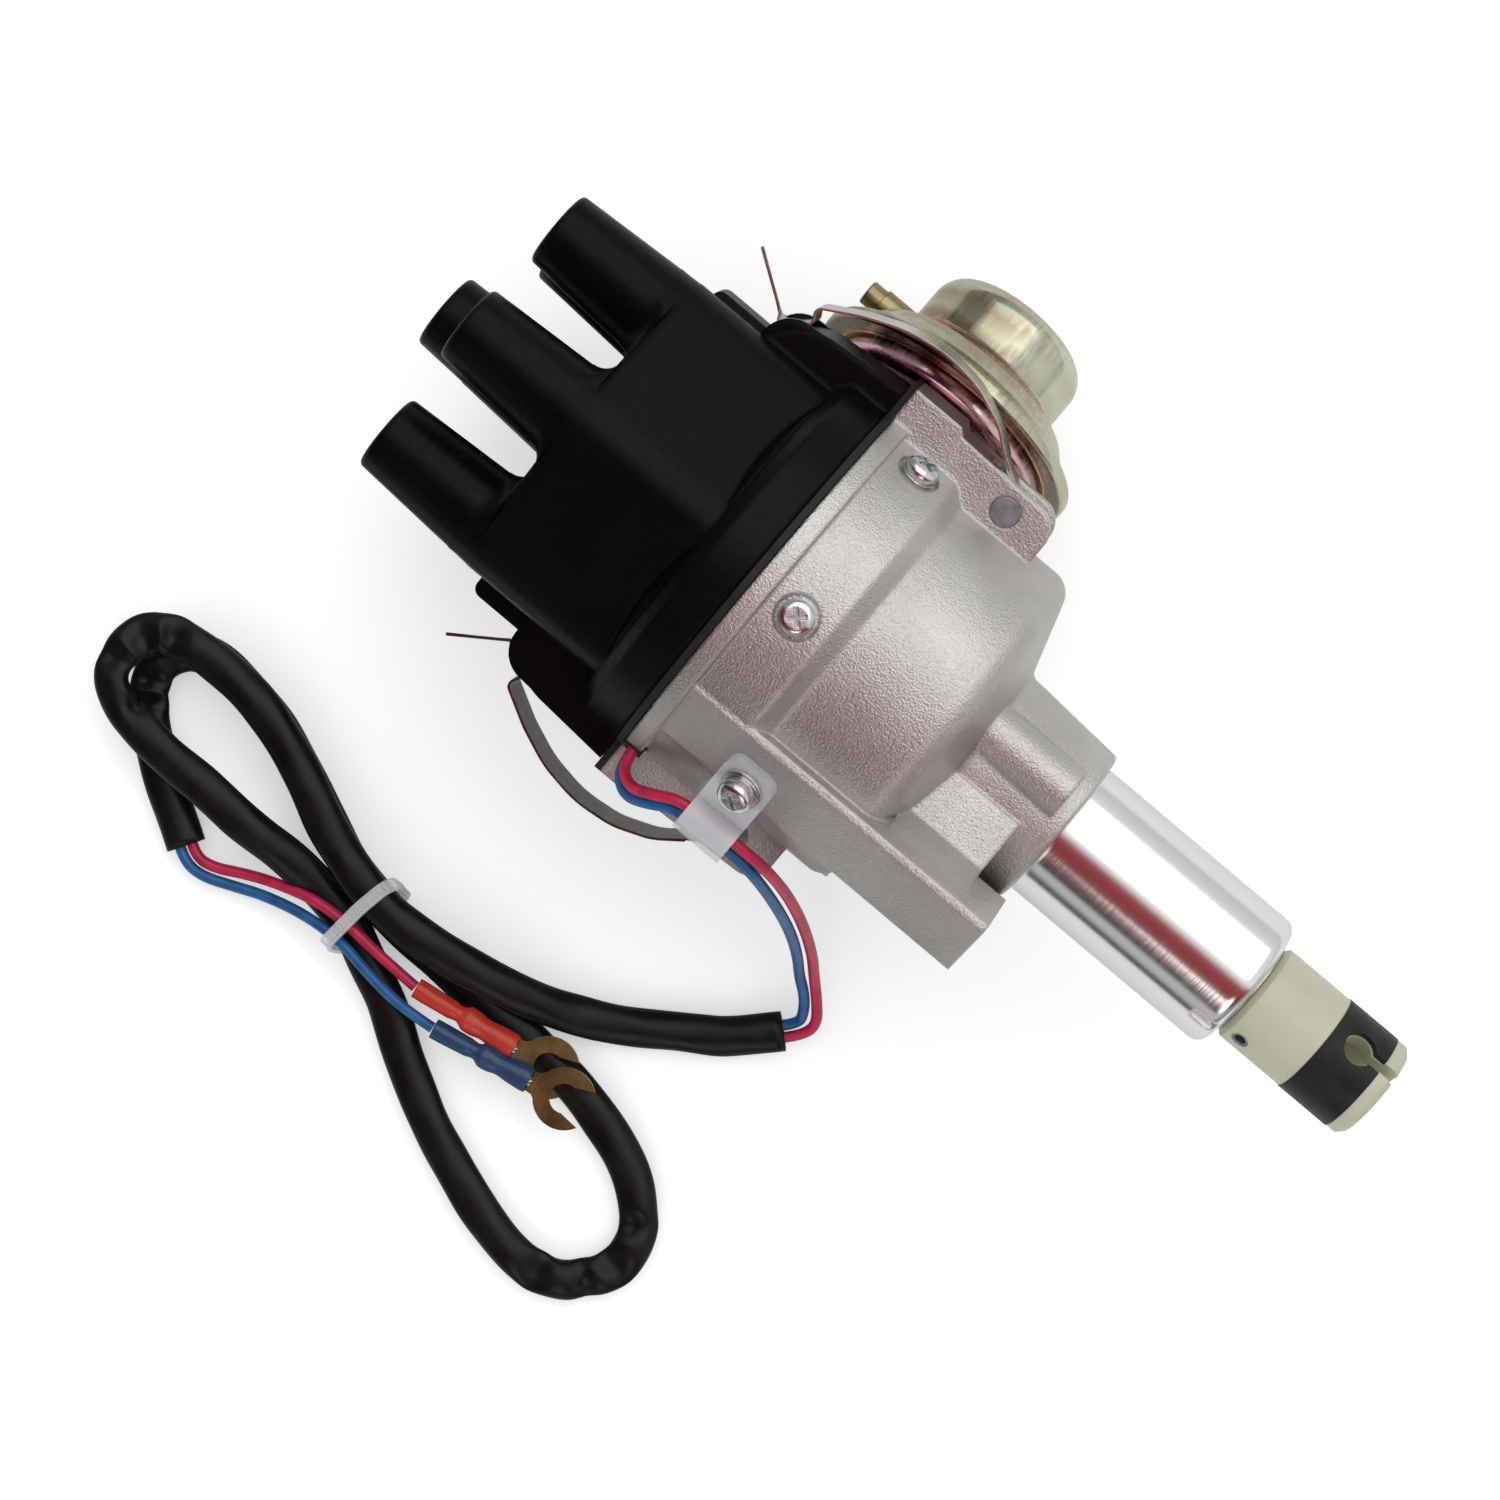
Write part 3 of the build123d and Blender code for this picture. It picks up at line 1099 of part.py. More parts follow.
def main():
    os.makedirs("parts", exist_ok=True)
    save("housing", housing())
    save("upper_bush", bush(-BOSS_LENGTH - FLOOR_WALL))
    save("lower_bush", bush(SPIGOT_LENGTH - BUSH_LENGTH))
    save("shaft", shaft())
    save("governor_plate", governor_plate())
    save("weight_pivots", *weight_pivots())
    save("weight_a", weight(0))
    save("weight_b", weight(180))
    save("cam_sleeve", cam_sleeve())
    save("reluctor", reluctor())
    save("rotor_arm", rotor_arm())
    save("rotor_electrode", rotor_electrode())
    save("fixed_plate", fixed_plate())
    save("moving_plate", moving_plate())
    coil, core = pickup()
    save("pickup_coil", coil)
    save("pickup_core", core)
    save("cap", cap())
    towers = [swung(index * TURN / TOWER_COUNT, terminal()) for index in range(TOWER_COUNT)]
    save("tower_terminals", *towers)
    save("centre_terminal", centre_terminal())
    save("carbon_brush", carbon_brush())
    save("brush_spring", brush_spring())
    save("cap_gasket", cap_gasket())
    save("clip_pins", *[clip_pin(turn) for turn in SIDES])
    save("upper_clip", clip(SIDES[0]))
    save("lower_clip", clip(SIDES[1]))
    save("side_screws", *side_screws())
    save("side_washers", *side_washers())
    save("inner_shell", inner_shell())
    save("outer_shell", outer_shell())
    save("hose_nipple", nipple())
    save("vacuum_bracket", vacuum_bracket())
    save("bracket_screws", *bracket_screws())
    save("diaphragm", diaphragm())
    save("vacuum_spring", vacuum_spring())
    save("vacuum_rod", vacuum_rod())
    save("drive_coupling", drive_coupling())
    save("coupling_ring", coupling_ring())
    save("roll_pin", roll_pin())
    save("thrust_washer", thrust_washer())
    save("wire_clamp", wire_clamp())
    screw, washers = clamp_fixing()
    save("clamp_screw", screw)
    save("clamp_washers", *washers)
    save("lead_grommet", grommet())
    harness()


main()
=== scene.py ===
import math

import bmesh
import bpy
from mathutils import Matrix, Vector


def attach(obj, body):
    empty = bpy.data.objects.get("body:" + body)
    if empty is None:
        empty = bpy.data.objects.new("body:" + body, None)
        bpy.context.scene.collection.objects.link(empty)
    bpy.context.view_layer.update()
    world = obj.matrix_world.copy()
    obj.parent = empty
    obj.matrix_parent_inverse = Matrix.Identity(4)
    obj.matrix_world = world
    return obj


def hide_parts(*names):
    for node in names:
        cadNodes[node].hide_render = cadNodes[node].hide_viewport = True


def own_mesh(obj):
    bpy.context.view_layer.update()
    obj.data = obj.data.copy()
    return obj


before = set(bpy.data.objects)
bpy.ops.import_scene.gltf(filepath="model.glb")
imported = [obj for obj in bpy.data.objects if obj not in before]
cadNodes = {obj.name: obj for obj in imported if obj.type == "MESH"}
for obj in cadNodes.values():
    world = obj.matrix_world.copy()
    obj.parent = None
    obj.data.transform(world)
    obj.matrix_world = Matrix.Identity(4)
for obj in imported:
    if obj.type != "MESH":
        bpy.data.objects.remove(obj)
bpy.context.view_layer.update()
scene = bpy.context.scene
scene.view_settings.view_transform = "Standard"
millimetre = 0.001
print("frame loaded:", len(cadNodes), "nodes")


# Shader maths: a socket that adds nodes as it is used in an expression
class Socket:
    def __init__(self, graph, output):
        self.graph = graph
        self.output = output

    def maths(self, operation, *values):
        return self.graph.node("ShaderNodeMath", {"operation": operation}, dict(enumerate(values)))

    def __add__(self, other):
        return self.maths("ADD", self, other)

    def __radd__(self, other):
        return self.maths("ADD", other, self)

    def __sub__(self, other):
        return self.maths("SUBTRACT", self, other)

    def __rsub__(self, other):
        return self.maths("SUBTRACT", other, self)

    def __mul__(self, other):
        return self.maths("MULTIPLY", self, other)

    def __rmul__(self, other):
        return self.maths("MULTIPLY", other, self)

    def __truediv__(self, other):
        return self.maths("DIVIDE", self, other)

    def __gt__(self, other):
        return self.maths("GREATER_THAN", self, other)

    def arcTangent(self, other):
        return self.maths("ARCTAN2", self, other)

    def between(self, low, high, shape="SMOOTHSTEP"):
        values = {"Value": self, "From Min": low, "From Max": high}
        return self.graph.node("ShaderNodeMapRange", {"interpolation_type": shape}, values, "Result")


# A node tree, with the one method that every node comes from
class Graph:
    def __init__(self, tree):
        self.tree = tree

    def node(self, kind, settings=None, values=None, output=0):
        made = self.tree.nodes.new(kind)
        for key, value in (settings or {}).items():
            if key == "stops":
                fillRamp(made.color_ramp, value)
            else:
                setattr(made, key, value)
        for key, value in (values or {}).items():
            if isinstance(value, Socket):
                self.tree.links.new(value.output, made.inputs[key])
            else:
                made.inputs[key].default_value = value
        return Socket(self, made.outputs[output])

    def ramp(self, factor, *stops):
        return self.node("ShaderNodeValToRGB", {"stops": stops}, {"Fac": factor}, "Color")

    def mixed(self, factor, first, second):
        values = {0: factor, 6: opaque(first), 7: opaque(second)}
        return self.node("ShaderNodeMix", {"data_type": "RGBA"}, values, 2)

    def blended(self, factor, first, second):
        return self.node("ShaderNodeMix", None, {0: factor, 2: first, 3: second})


# A finish on one Principled shader
class Finish(Graph):
    def __init__(self, name, **plain):
        self.material = bpy.data.materials.new(name)
        self.material.use_nodes = True
        super().__init__(self.material.node_tree)
        self.shader = self.tree.nodes["Principled BSDF"]
        for socketName, value in plain.items():
            self.shader.inputs[socketName.replace("_", " ")].default_value = value
        self.place = self.node("ShaderNodeTexCoord", output="Object")

    def noise(self, size, detail=3.0, rough=0.5, stretch=None, distortion=0.0):
        where = self.place
        if stretch:
            where = self.node("ShaderNodeMapping", None, {"Vector": where, "Scale": stretch})
        values = {"Vector": where, "Scale": 1 / size, "Detail": detail, "Roughness": rough, "Distortion": distortion}
        return self.node("ShaderNodeTexNoise", None, values)

    def axis(self, letter):
        return self.node("ShaderNodeSeparateXYZ", None, {"Vector": self.place}, letter)

    def dot(self, vector, direction):
        return self.node("ShaderNodeVectorMath", {"operation": "DOT_PRODUCT"}, {0: vector, 1: direction}, "Value")

    def along(self, direction):
        return self.dot(self.place, direction)

    def facing(self, direction):
        return self.dot(self.node("ShaderNodeNewGeometry", output="Normal"), direction)

    def edges(self, radius):
        return self.node("ShaderNodeBevel", {"samples": 6}, {"Radius": radius})

    def bump(self, height, depth, strength=1.0, under=None):
        values = {"Height": height, "Distance": depth, "Strength": strength}
        if under:
            values["Normal"] = under
        return self.node("ShaderNodeBump", None, values)

    def feed(self, **links):
        for socketName, link in links.items():
            self.tree.links.new(link.output, self.shader.inputs[socketName.replace("_", " ")])
        return self.material


def fillRamp(ramp, stops):
    while len(ramp.elements) > 1:
        ramp.elements.remove(ramp.elements[-1])
    ramp.elements[0].position, ramp.elements[0].color = stops[0][0], opaque(stops[0][1])
    for position, colour in stops[1:]:
        ramp.elements.new(position).color = opaque(colour)


# A grey or a colour with full alpha; a socket stays as it is
def opaque(colour):
    if isinstance(colour, Socket):
        return colour
    if isinstance(colour, float):
        colour = (colour, colour, colour)
    return (*colour[:3], 1.0)


def dress(material, *names):
    for name in names:
        slots = cadNodes[name].data.materials
        slots.clear()
        slots.append(material)


def turns(count):
    return [2 * math.pi * step / count for step in range(count)]


def linked(name, data):
    piece = bpy.data.objects.new(name, data)
    scene.collection.objects.link(piece)
    return piece


def meshPiece(name, mesh):
    data = bpy.data.meshes.new(name)
    mesh.to_mesh(data)
    mesh.free()
    return linked(name, data)


# A new piece gets its finish and its body, and the CAD node that it stands for is hidden
def fitted(piece, material, body, node=None):
    piece.data.materials.append(material)
    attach(piece, body)
    if node:
        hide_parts(node)
    return piece


# Skin over a row of rings that have as many points each
def tubeMesh(name, rings, closed=False, capped=False, smooth=True):
    mesh = bmesh.new()
    rows = [[mesh.verts.new(point) for point in ring] for ring in rings]
    pairs = list(zip(rows, rows[1:])) + ([(rows[-1], rows[0])] if closed else [])
    for first, second in pairs:
        for step in range(len(first)):
            after = (step + 1) % len(first)
            mesh.faces.new((first[step], first[after], second[after], second[step]))
    if capped:
        mesh.faces.new(rows[0])
        mesh.faces.new(rows[-1])
    bmesh.ops.recalc_face_normals(mesh, faces=mesh.faces)
    piece = meshPiece(name, mesh)
    for polygon in piece.data.polygons:
        polygon.use_smooth = smooth and not capped
    return piece


# Copy of a CAD piece with its points moved, which takes that piece's place
def reshaped(name, node, body, material, move, cuts=()):
    mesh = bmesh.new()
    mesh.from_mesh(cadNodes[node].data)
    bmesh.ops.remove_doubles(mesh, verts=mesh.verts, dist=0.002 * millimetre)
    for reach in cuts:
        geometry = mesh.verts[:] + mesh.edges[:] + mesh.faces[:]
        bmesh.ops.bisect_plane(mesh, geom=geometry, plane_co=(reach, 0, 0), plane_no=(1, 0, 0))
    mesh.normal_update()
    moved = [move(vertex.co, vertex.normal) for vertex in mesh.verts]
    for vertex, point in zip(mesh.verts, moved):
        vertex.co = point
    return fitted(meshPiece(name, mesh), material, body, node)


# Camera: straight above the distributor, turned to the photograph's diagonal
camera = {
    "place": (-0.0549, -0.0269, 0.870),
    "turn": 40.1,
    "lens": 108.6,
    "sensor": 36.0,
    "nearest": 0.01,
    "furthest": 20,
}
cameraData = bpy.data.cameras.new("studioCamera")
cameraData.lens = camera["lens"]
cameraData.sensor_width = camera["sensor"]
cameraData.clip_start = camera["nearest"]
cameraData.clip_end = camera["furthest"]
cameraObject = linked("studioCamera", cameraData)
cameraObject.location = camera["place"]
cameraObject.rotation_euler = (0, 0, math.radians(camera["turn"]))
scene.camera = cameraObject
print("camera placed")

# Routes of the leads, the sleeve and the tails, in millimetres
redLeadRoute = [
    (-72.3, -35.5, 6.0), (-72.3, -44.3, 7.1), (-68.0, -47.2, 10.8), (-63.5, -45.2, 15.6),
    (-58.5, -42.3, 18.7), (-45.2, -42.2, 18.8), (-39.0, -42.2, 15.0), (-32.5, -43.2, 4.0),
    (-25.5, -46.0, -12.0), (-19.5, -49.8, -27.0), (-16.0, -53.2, -36.5), (-12.0, -56.9, -42.4),
    (-8.7, -60.7, -46.4), (-9.5, -64.3, -48.2), (-12.0, -67.0, -48.4),
]
blueLeadRoute = [
    (-72.3, -35.9, 2.8), (-72.3, -45.4, 4.0), (-68.0, -49.0, 7.4), (-63.5, -47.4, 12.4),
    (-58.5, -44.1, 16.9), (-45.2, -44.0, 17.0), (-39.0, -44.6, 12.4), (-32.0, -46.5, 0.0),
    (-25.9, -49.0, -14.0), (-21.2, -52.2, -27.2), (-18.4, -55.0, -36.0), (-14.7, -57.6, -41.4),
    (-12.4, -60.5, -45.2), (-11.6, -62.9, -48.2), (-13.85, -65.35, -48.4),
]
sleeveRoute = [
    (-13.0, -66.2, -48.4), (-19.6, -73.6, -49.2), (-27.0, -78.5, -49.2), (-35.5, -84.5, -49.2),
    (-46.0, -90.5, -48.2), (-56.0, -94.0, -45.2), (-67.0, -96.5, -42.5), (-76.5, -98.0, -41.5),
    (-85.0, -99.0, -41.0), (-93.0, -98.5, -41.0), (-101.0, -96.8, -41.2), (-109.5, -94.0, -42.0),
    (-119.0, -89.5, -42.3), (-128.5, -85.5, -42.3), (-139.0, -83.0, -42.3), (-149.0, -82.5, -42.3),
    (-157.0, -83.5, -42.3), (-162.5, -86.0, -42.3), (-165.0, -91.5, -42.3), (-163.5, -97.5, -42.3),
    (-158.0, -101.5, -42.3), (-151.0, -103.0, -42.3), (-142.5, -103.5, -42.3), (-132.5, -103.5, -42.3),
    (-121.5, -104.0, -42.6), (-110.5, -103.5, -44.9), (-101.5, -104.6, -47.1), (-93.5, -106.4, -47.9),
    (-85.0, -110.5, -48.2), (-76.5, -114.5, -48.9), (-65.5, -122.0, -49.2), (-51.0, -129.0, -49.2),
    (-36.5, -134.0, -49.2), (-24.5, -136.8, -49.2), (-14.5, -134.5, -49.2), (-8.2, -127.0, -49.2),
    (-8.0, -118.0, -49.2), (-14.0, -110.5, -49.2), (-23.0, -105.7, -49.2), (-34.5, -102.5, -49.2),
    (-47.0, -101.0, -49.2), (-58.0, -100.5, -49.2), (-71.0, -100.5, -48.7), (-83.5, -100.0, -47.9),
    (-93.5, -99.0, -48.0), (-102.0, -97.0, -48.7), (-110.5, -93.5, -49.2), (-121.0, -89.0, -49.2),
    (-131.0, -85.0, -49.2), (-141.0, -83.0, -49.2), (-150.0, -82.5, -49.2), (-156.0, -85.0, -49.2),
    (-158.5, -91.0, -49.2), (-156.0, -97.0, -49.2), (-151.0, -102.0, -49.2), (-144.5, -106.5, -49.2),
    (-137.5, -111.0, -49.2), (-130.0, -115.5, -49.2),
]
redTailRoute = [
    (-129.3, -114.4, -49.2), (-126.8, -116.0, -49.2), (-122.6, -115.2, -49.0), (-117.5, -112.3, -48.2),
    (-111.5, -109.5, -46.8), (-102.5, -106.5, -43.0), (-95.0, -106.0, -42.6), (-85.0, -106.8, -43.0),
    (-75.8, -107.0, -43.7),
]
blueTailRoute = [
    (-130.6, -116.6, -49.2), (-128.0, -118.2, -49.2), (-123.5, -118.2, -49.2), (-117.5, -115.7, -49.0),
    (-111.5, -113.0, -48.2), (-103.0, -110.5, -45.4), (-94.0, -109.5, -43.0), (-85.0, -111.0, -43.0),
    (-75.5, -112.0, -43.4), (-67.8, -111.1, -43.7),
]


# Insulated leads and tails
wire = {
    "radius": 1.15,
    "red": (0.56, 0.012, 0.075),
    "redDeep": (0.40, 0.006, 0.045),
    "blue": (0.012, 0.125, 0.36),
    "blueDeep": (0.006, 0.075, 0.24),
    "rough": 0.34,
    "specular": 0.5,
    "dustSize": 0.004,
    "dustSpan": (0.3, 0.72),
    "grainSize": 0.0007,
    "grainDepth": 0.00004,
    "grainStrength": 0.4,
    "curveSteps": 12,
    "curveSides": 5,
}


def routeCurve(name, route, radius=0.0):
    data = bpy.data.curves.new(name, "CURVE")
    data.dimensions = "3D"
    data.resolution_u = wire["curveSteps"]
    data.bevel_depth = radius * millimetre
    data.bevel_resolution = wire["curveSides"]
    data.use_fill_caps = True
    spline = data.splines.new("NURBS")
    spline.points.add(len(route) - 1)
    for point, (x, y, z) in zip(spline.points, route):
        point.co = (x * millimetre, y * millimetre, z * millimetre, 1)
    spline.order_u = 3
    spline.use_endpoint_u = True
    return linked(name, data)


def routeLine(route):
    bare = routeCurve("bareLine", route)
    bpy.context.view_layer.update()
    mesh = bpy.data.meshes.new_from_object(bare.evaluated_get(bpy.context.evaluated_depsgraph_get()))
    line = [vertex.co.copy() for vertex in mesh.vertices]
    bpy.data.objects.remove(bare)
    return line


def insulation(colourName):
    skin = Finish(f"{colourName}Insulation", Roughness=wire["rough"], Specular_IOR_Level=wire["specular"])
    patches = skin.noise(wire["dustSize"], 2)
    grain = skin.noise(wire["grainSize"], 2)
    return skin.feed(
        Base_Color=skin.mixed(patches.between(*wire["dustSpan"]), wire[f"{colourName}Deep"], wire[colourName]),
        Normal=skin.bump(grain, wire["grainDepth"], wire["grainStrength"]),
    )


redSkin = insulation("red")
blueSkin = insulation("blue")


def insulatedWire(name, node, route, skin):
    return fitted(routeCurve(name, route, wire["radius"]), skin, "housing", node)


redLead = insulatedWire("redLeadWire", "red_lead", redLeadRoute, redSkin)
blueLead = insulatedWire("blueLeadWire", "blue_lead", blueLeadRoute, blueSkin)
redTail = insulatedWire("redTailWire", "red_tail", redTailRoute, redSkin)
blueTail = insulatedWire("blueTailWire", "blue_tail", blueTailRoute, blueSkin)
print("wires laid")

# Black vinyl sleeve: a soft thin tube that lies flat, and kinks where it doubles back
sleeve = {
    "radius": 3.4,
    "wall": 0.35,
    "around": 36,
    "wide": 1.20,
    "high": 0.70,
    "kinks": [
        (-162.7, -88.3, 2.6), (-158.4, -84.0, 2.2), (-165.9, -95.3, 2.4), (-158.2, -95.0, 2.2), (-155, -99, 2.4),
        (-11.4, -116.3, 2.2), (-9.4, -124.5, 2.4), (-9.9, -132.3, 2.4), (-20, -136, 2.4),
    ],
    "kinkFlat": 0.50,
    "kinkWide": 0.10,
    "dent": 0.45,
    "slack": 0.035,
    "slackWide": 0.5,
    "slackWaves": ((1.0, 0.19, 0.0), (0.6, 0.47, 1.0)),
    "ripple": 0.02,
    "rippleLobes": 3,
    "rippleTurn": 0.33,
}


def kinkShare(point):
    share = 0
    for x, y, reach in sleeve["kinks"]:
        away = math.hypot(point.x / millimetre - x, point.y / millimetre - y) / reach
        share = max(share, math.exp(-away * away))
    return share


def sleeveTube(name, line):
    rings = []
    up = Vector((0, 0, 1))
    travelled = 0.0
    for index, point in enumerate(line):
        ahead = (line[min(index + 1, len(line) - 1)] - line[max(index - 1, 0)]).normalized()
        side = ahead.cross(up).normalized()
        top = side.cross(ahead)
        if index:
            travelled += (point - line[index - 1]).length / millimetre
        kink = kinkShare(point)
        waves = sum(share * math.sin(travelled * rate + start) for share, rate, start in sleeve["slackWaves"])
        slack = sleeve["slack"] * waves
        wide = sleeve["wide"] * (1 + sleeve["kinkWide"] * kink + slack * sleeve["slackWide"])
        high = sleeve["high"] * (1 - sleeve["kinkFlat"] * kink - slack)
        ring = []
        for angle in turns(sleeve["around"]):
            lobes = math.sin(sleeve["rippleLobes"] * angle + travelled * sleeve["rippleTurn"])
            reach = sleeve["radius"] * (1 + sleeve["ripple"] * lobes) * millimetre
            out = (math.cos(angle) * side * wide + math.sin(angle) * top * high) * reach
            ring.append(point + out * (1 - sleeve["dent"] * kinkShare(point + out)))
        rings.append(ring)
    piece = tubeMesh(name, rings)
    wall = piece.modifiers.new("wall", "SOLIDIFY")
    wall.thickness = sleeve["wall"] * millimetre
    wall.offset = -1
    return piece


vinylLook = {
    "specular": 0.22,
    "scuffSize": 0.006,
    "dark": (0.35, 0.0045),
    "worn": (0.75, 0.0085),
    "roughSpan": (0.3, 0.75),
    "rough": (0.26, 0.40),
    "wave": {"size": 0.007, "depth": 0.0003, "strength": 0.4},
    "grain": {"size": 0.0006, "depth": 0.00002, "strength": 0.3},
}
vinyl = Finish("blackVinyl", Specular_IOR_Level=vinylLook["specular"])
scuffs = vinyl.noise(vinylLook["scuffSize"])
vinylNormal = None
for relief in (vinylLook["wave"], vinylLook["grain"]):
    vinylNormal = vinyl.bump(vinyl.noise(relief["size"], 2), relief["depth"], relief["strength"], vinylNormal)
vinyl.feed(
    Base_Color=vinyl.ramp(scuffs, vinylLook["dark"], vinylLook["worn"]),
    Roughness=vinyl.blended(scuffs.between(*vinylLook["roughSpan"]), *vinylLook["rough"]),
    Normal=vinylNormal,
)
sleeveLine = routeLine(sleeveRoute)
sleevePiece = fitted(sleeveTube("vinylSleeve", sleeveLine), vinyl.material, "housing", "sleeve")
print("sleeve laid")

# Cast housing with its turned spigot
casting = {
    "cast": (0.63, 0.612, 0.59),
    "castDeep": (0.53, 0.513, 0.495),
    "castRough": (0.34, 0.44),
    "cloudSize": 0.018,
    "cloudSpan": (0.3, 0.75),
    "grainSize": 0.00045,
    "grainRough": 0.6,
    "grainShare": 0.7,
    "grainDepth": 0.00030,
    "pebbleSize": 0.0016,
    "pebbleRough": 0.55,
    "turned": (0.88, 0.88, 0.875),
    "turnedRough": (0.12, 0.22),
    "ringSize": 1 / 2600,
    "ringStretch": (1, 0.02, 0.02),
    "ringDepth": 0.00002,
    "ringStrength": 0.6,
    "spigotStart": 0.00005,
    "edge": 0.0011,
}
cast = Finish("castAlloy", Metallic=1.0)
turnedMask = cast.axis("X") > casting["spigotStart"]
grain = cast.noise(casting["grainSize"], 2, casting["grainRough"])
pebble = cast.noise(casting["pebbleSize"], 3, casting["pebbleRough"])
clouds = cast.noise(casting["cloudSize"])
turnedRings = cast.noise(casting["ringSize"], stretch=casting["ringStretch"])
castColour = cast.mixed(clouds.between(*casting["cloudSpan"]), casting["castDeep"], casting["cast"])
castHeight = grain * casting["grainShare"] + pebble * (1 - casting["grainShare"])
castNormal = cast.bump(castHeight * (1 - turnedMask), casting["grainDepth"], 1.0, cast.edges(casting["edge"]))
cast.feed(
    Base_Color=cast.mixed(turnedMask, castColour, casting["turned"]),
    Roughness=cast.blended(
        turnedMask, cast.blended(clouds, *casting["castRough"]), cast.blended(turnedRings, *casting["turnedRough"])
    ),
    Normal=cast.bump(turnedRings * turnedMask, casting["ringDepth"], casting["ringStrength"], castNormal),
)
dress(cast.material, "housing")
print("housing dressed")

# Moulded cap
moulding = {
    "specular": 0.10,
    "bloomSize": 0.016,
    "bloomRough": 0.6,
    "dark": (0.35, 0.0018),
    "light": (0.75, 0.0036),
    "speckleSize": 0.0011,
    "speckleRough": 0.7,
    "speckleSpan": (0.35, 0.7),
    "speckleDepth": 0.00005,
    "speckleStrength": 0.5,
    "rough": (0.29, 0.43),
    "edge": 0.0016,
}
capSkin = Finish("capMoulding", Specular_IOR_Level=moulding["specular"])
speckle = capSkin.noise(moulding["speckleSize"], 3, moulding["speckleRough"])
capSkin.feed(
    Base_Color=capSkin.ramp(
        capSkin.noise(moulding["bloomSize"], 4, moulding["bloomRough"]), moulding["dark"], moulding["light"]
    ),
    Roughness=capSkin.blended(speckle.between(*moulding["speckleSpan"]), *moulding["rough"]),
    Normal=capSkin.bump(
        speckle, moulding["speckleDepth"], moulding["speckleStrength"], capSkin.edges(moulding["edge"])
    ),
)
dress(capSkin.material, "cap")

# Hollow fillets at the feet of the towers, kept inside the outline of the cap's face
towerFoot = {
    "towers": 6,
    "circle": 29.0,
    "root": 9.5,
    "lobe": 9.5,
    "corner": math.radians(30),
    "along": math.radians(88),
    "face": -119.7,
    "flare": 3.8,
    "steps": 9,
    "around": 96,
    "sink": 0.25,
}


# Distance from a tower's axis to the edge of the cap's face, by the angle from outwards
def faceReach(angle):
    beyond = abs(math.remainder(angle, 2 * math.pi)) - towerFoot["corner"]
    if beyond <= 0:
        return towerFoot["lobe"]
    if beyond >= towerFoot["along"]:
        return math.inf
    return towerFoot["lobe"] / math.cos(beyond)


def towerFillet(name, centre, outwards, bounded):
    rings = []
    flare = towerFoot["flare"]
    for step in range(towerFoot["steps"] + 1):
        share = step / towerFoot["steps"]
        turn = math.pi / 2 * share
        rise = flare * (1 - math.cos(turn)) - towerFoot["sink"]
        wide = towerFoot["root"] + flare * (1 - math.sin(turn)) - towerFoot["sink"] * share
        ring = []
        for angle in turns(towerFoot["around"]):
            reach = min(wide, faceReach(angle) - towerFoot["sink"]) if bounded else wide
            heading = outwards + angle
            ring.append(Vector((
                (towerFoot["face"] - rise) * millimetre,
                (centre[0] + reach * math.sin(heading)) * millimetre,
                (centre[1] + reach * math.cos(heading)) * millimetre,
            )))
        rings.append(ring)
    fitted(tubeMesh(name, rings), capSkin.material, "cap")


for index, outwards in enumerate(turns(towerFoot["towers"])):
    centre = (towerFoot["circle"] * math.sin(outwards), towerFoot["circle"] * math.cos(outwards))
    towerFillet(f"towerFoot{index + 1}", centre, outwards, True)
towerFillet("centreTowerFoot", (0, 0), 0, False)

# Sloped collar that closes the moulding where the hexagonal side meets the round skirt
collar = {"section": [(-86.5, 37.6), (-90.6, 31.1), (-90.6, 29.9), (-86.5, 36.4)], "around": 96}
collarRings = [
    [
        Vector((x, reach * math.cos(angle), reach * math.sin(angle))) * millimetre
        for x, reach in collar["section"]
    ]
    for angle in turns(collar["around"])
]
collarPiece = tubeMesh("capCollar", collarRings, closed=True, smooth=False)
fitted(collarPiece, capSkin.material, "cap")

# Cheeks at both sides of each ear, which hide the low point of the clip's hook
clipRoll = math.radians(12)
cheek = {
    "mouth": -76.3,
    "end": -104.0,
    "foot": 30.0,
    "reach": 44.2,
    "lip": 1.4,
    "round": 6.5,
    "steps": 8,
    "inner": 5.9,
    "outer": 7.95,
}


def earCheek(name, turn, side):
    corner = (cheek["end"] + cheek["round"], cheek["reach"] - cheek["round"])
    outline = [(cheek["mouth"], cheek["foot"]), (cheek["mouth"], cheek["reach"] + cheek["lip"])]
    for step in range(cheek["steps"] + 1):
        angle = math.radians(90 + 90 * step / cheek["steps"])
        outline.append((corner[0] + cheek["round"] * math.cos(angle), corner[1] + cheek["round"] * math.sin(angle)))
    outline.append((cheek["end"], cheek["foot"]))
    roll = clipRoll + turn
    outwards = Vector((0, math.cos(roll), math.sin(roll)))
    across = Vector((0, -math.sin(roll), math.cos(roll)))
    rings = [
        [(Vector((x, 0, 0)) + outwards * reach + across * side * depth) * millimetre for x, reach in outline]
        for depth in (cheek["inner"], cheek["outer"])
    ]
    fitted(tubeMesh(name, rings, capped=True), capSkin.material, "cap")


for turnIndex, turn in enumerate((0, math.pi)):
    for sideIndex, side in enumerate((-1, 1)):
        earCheek(f"earCheek{2 * turnIndex + sideIndex + 1}", turn, side)
print("cap dressed")

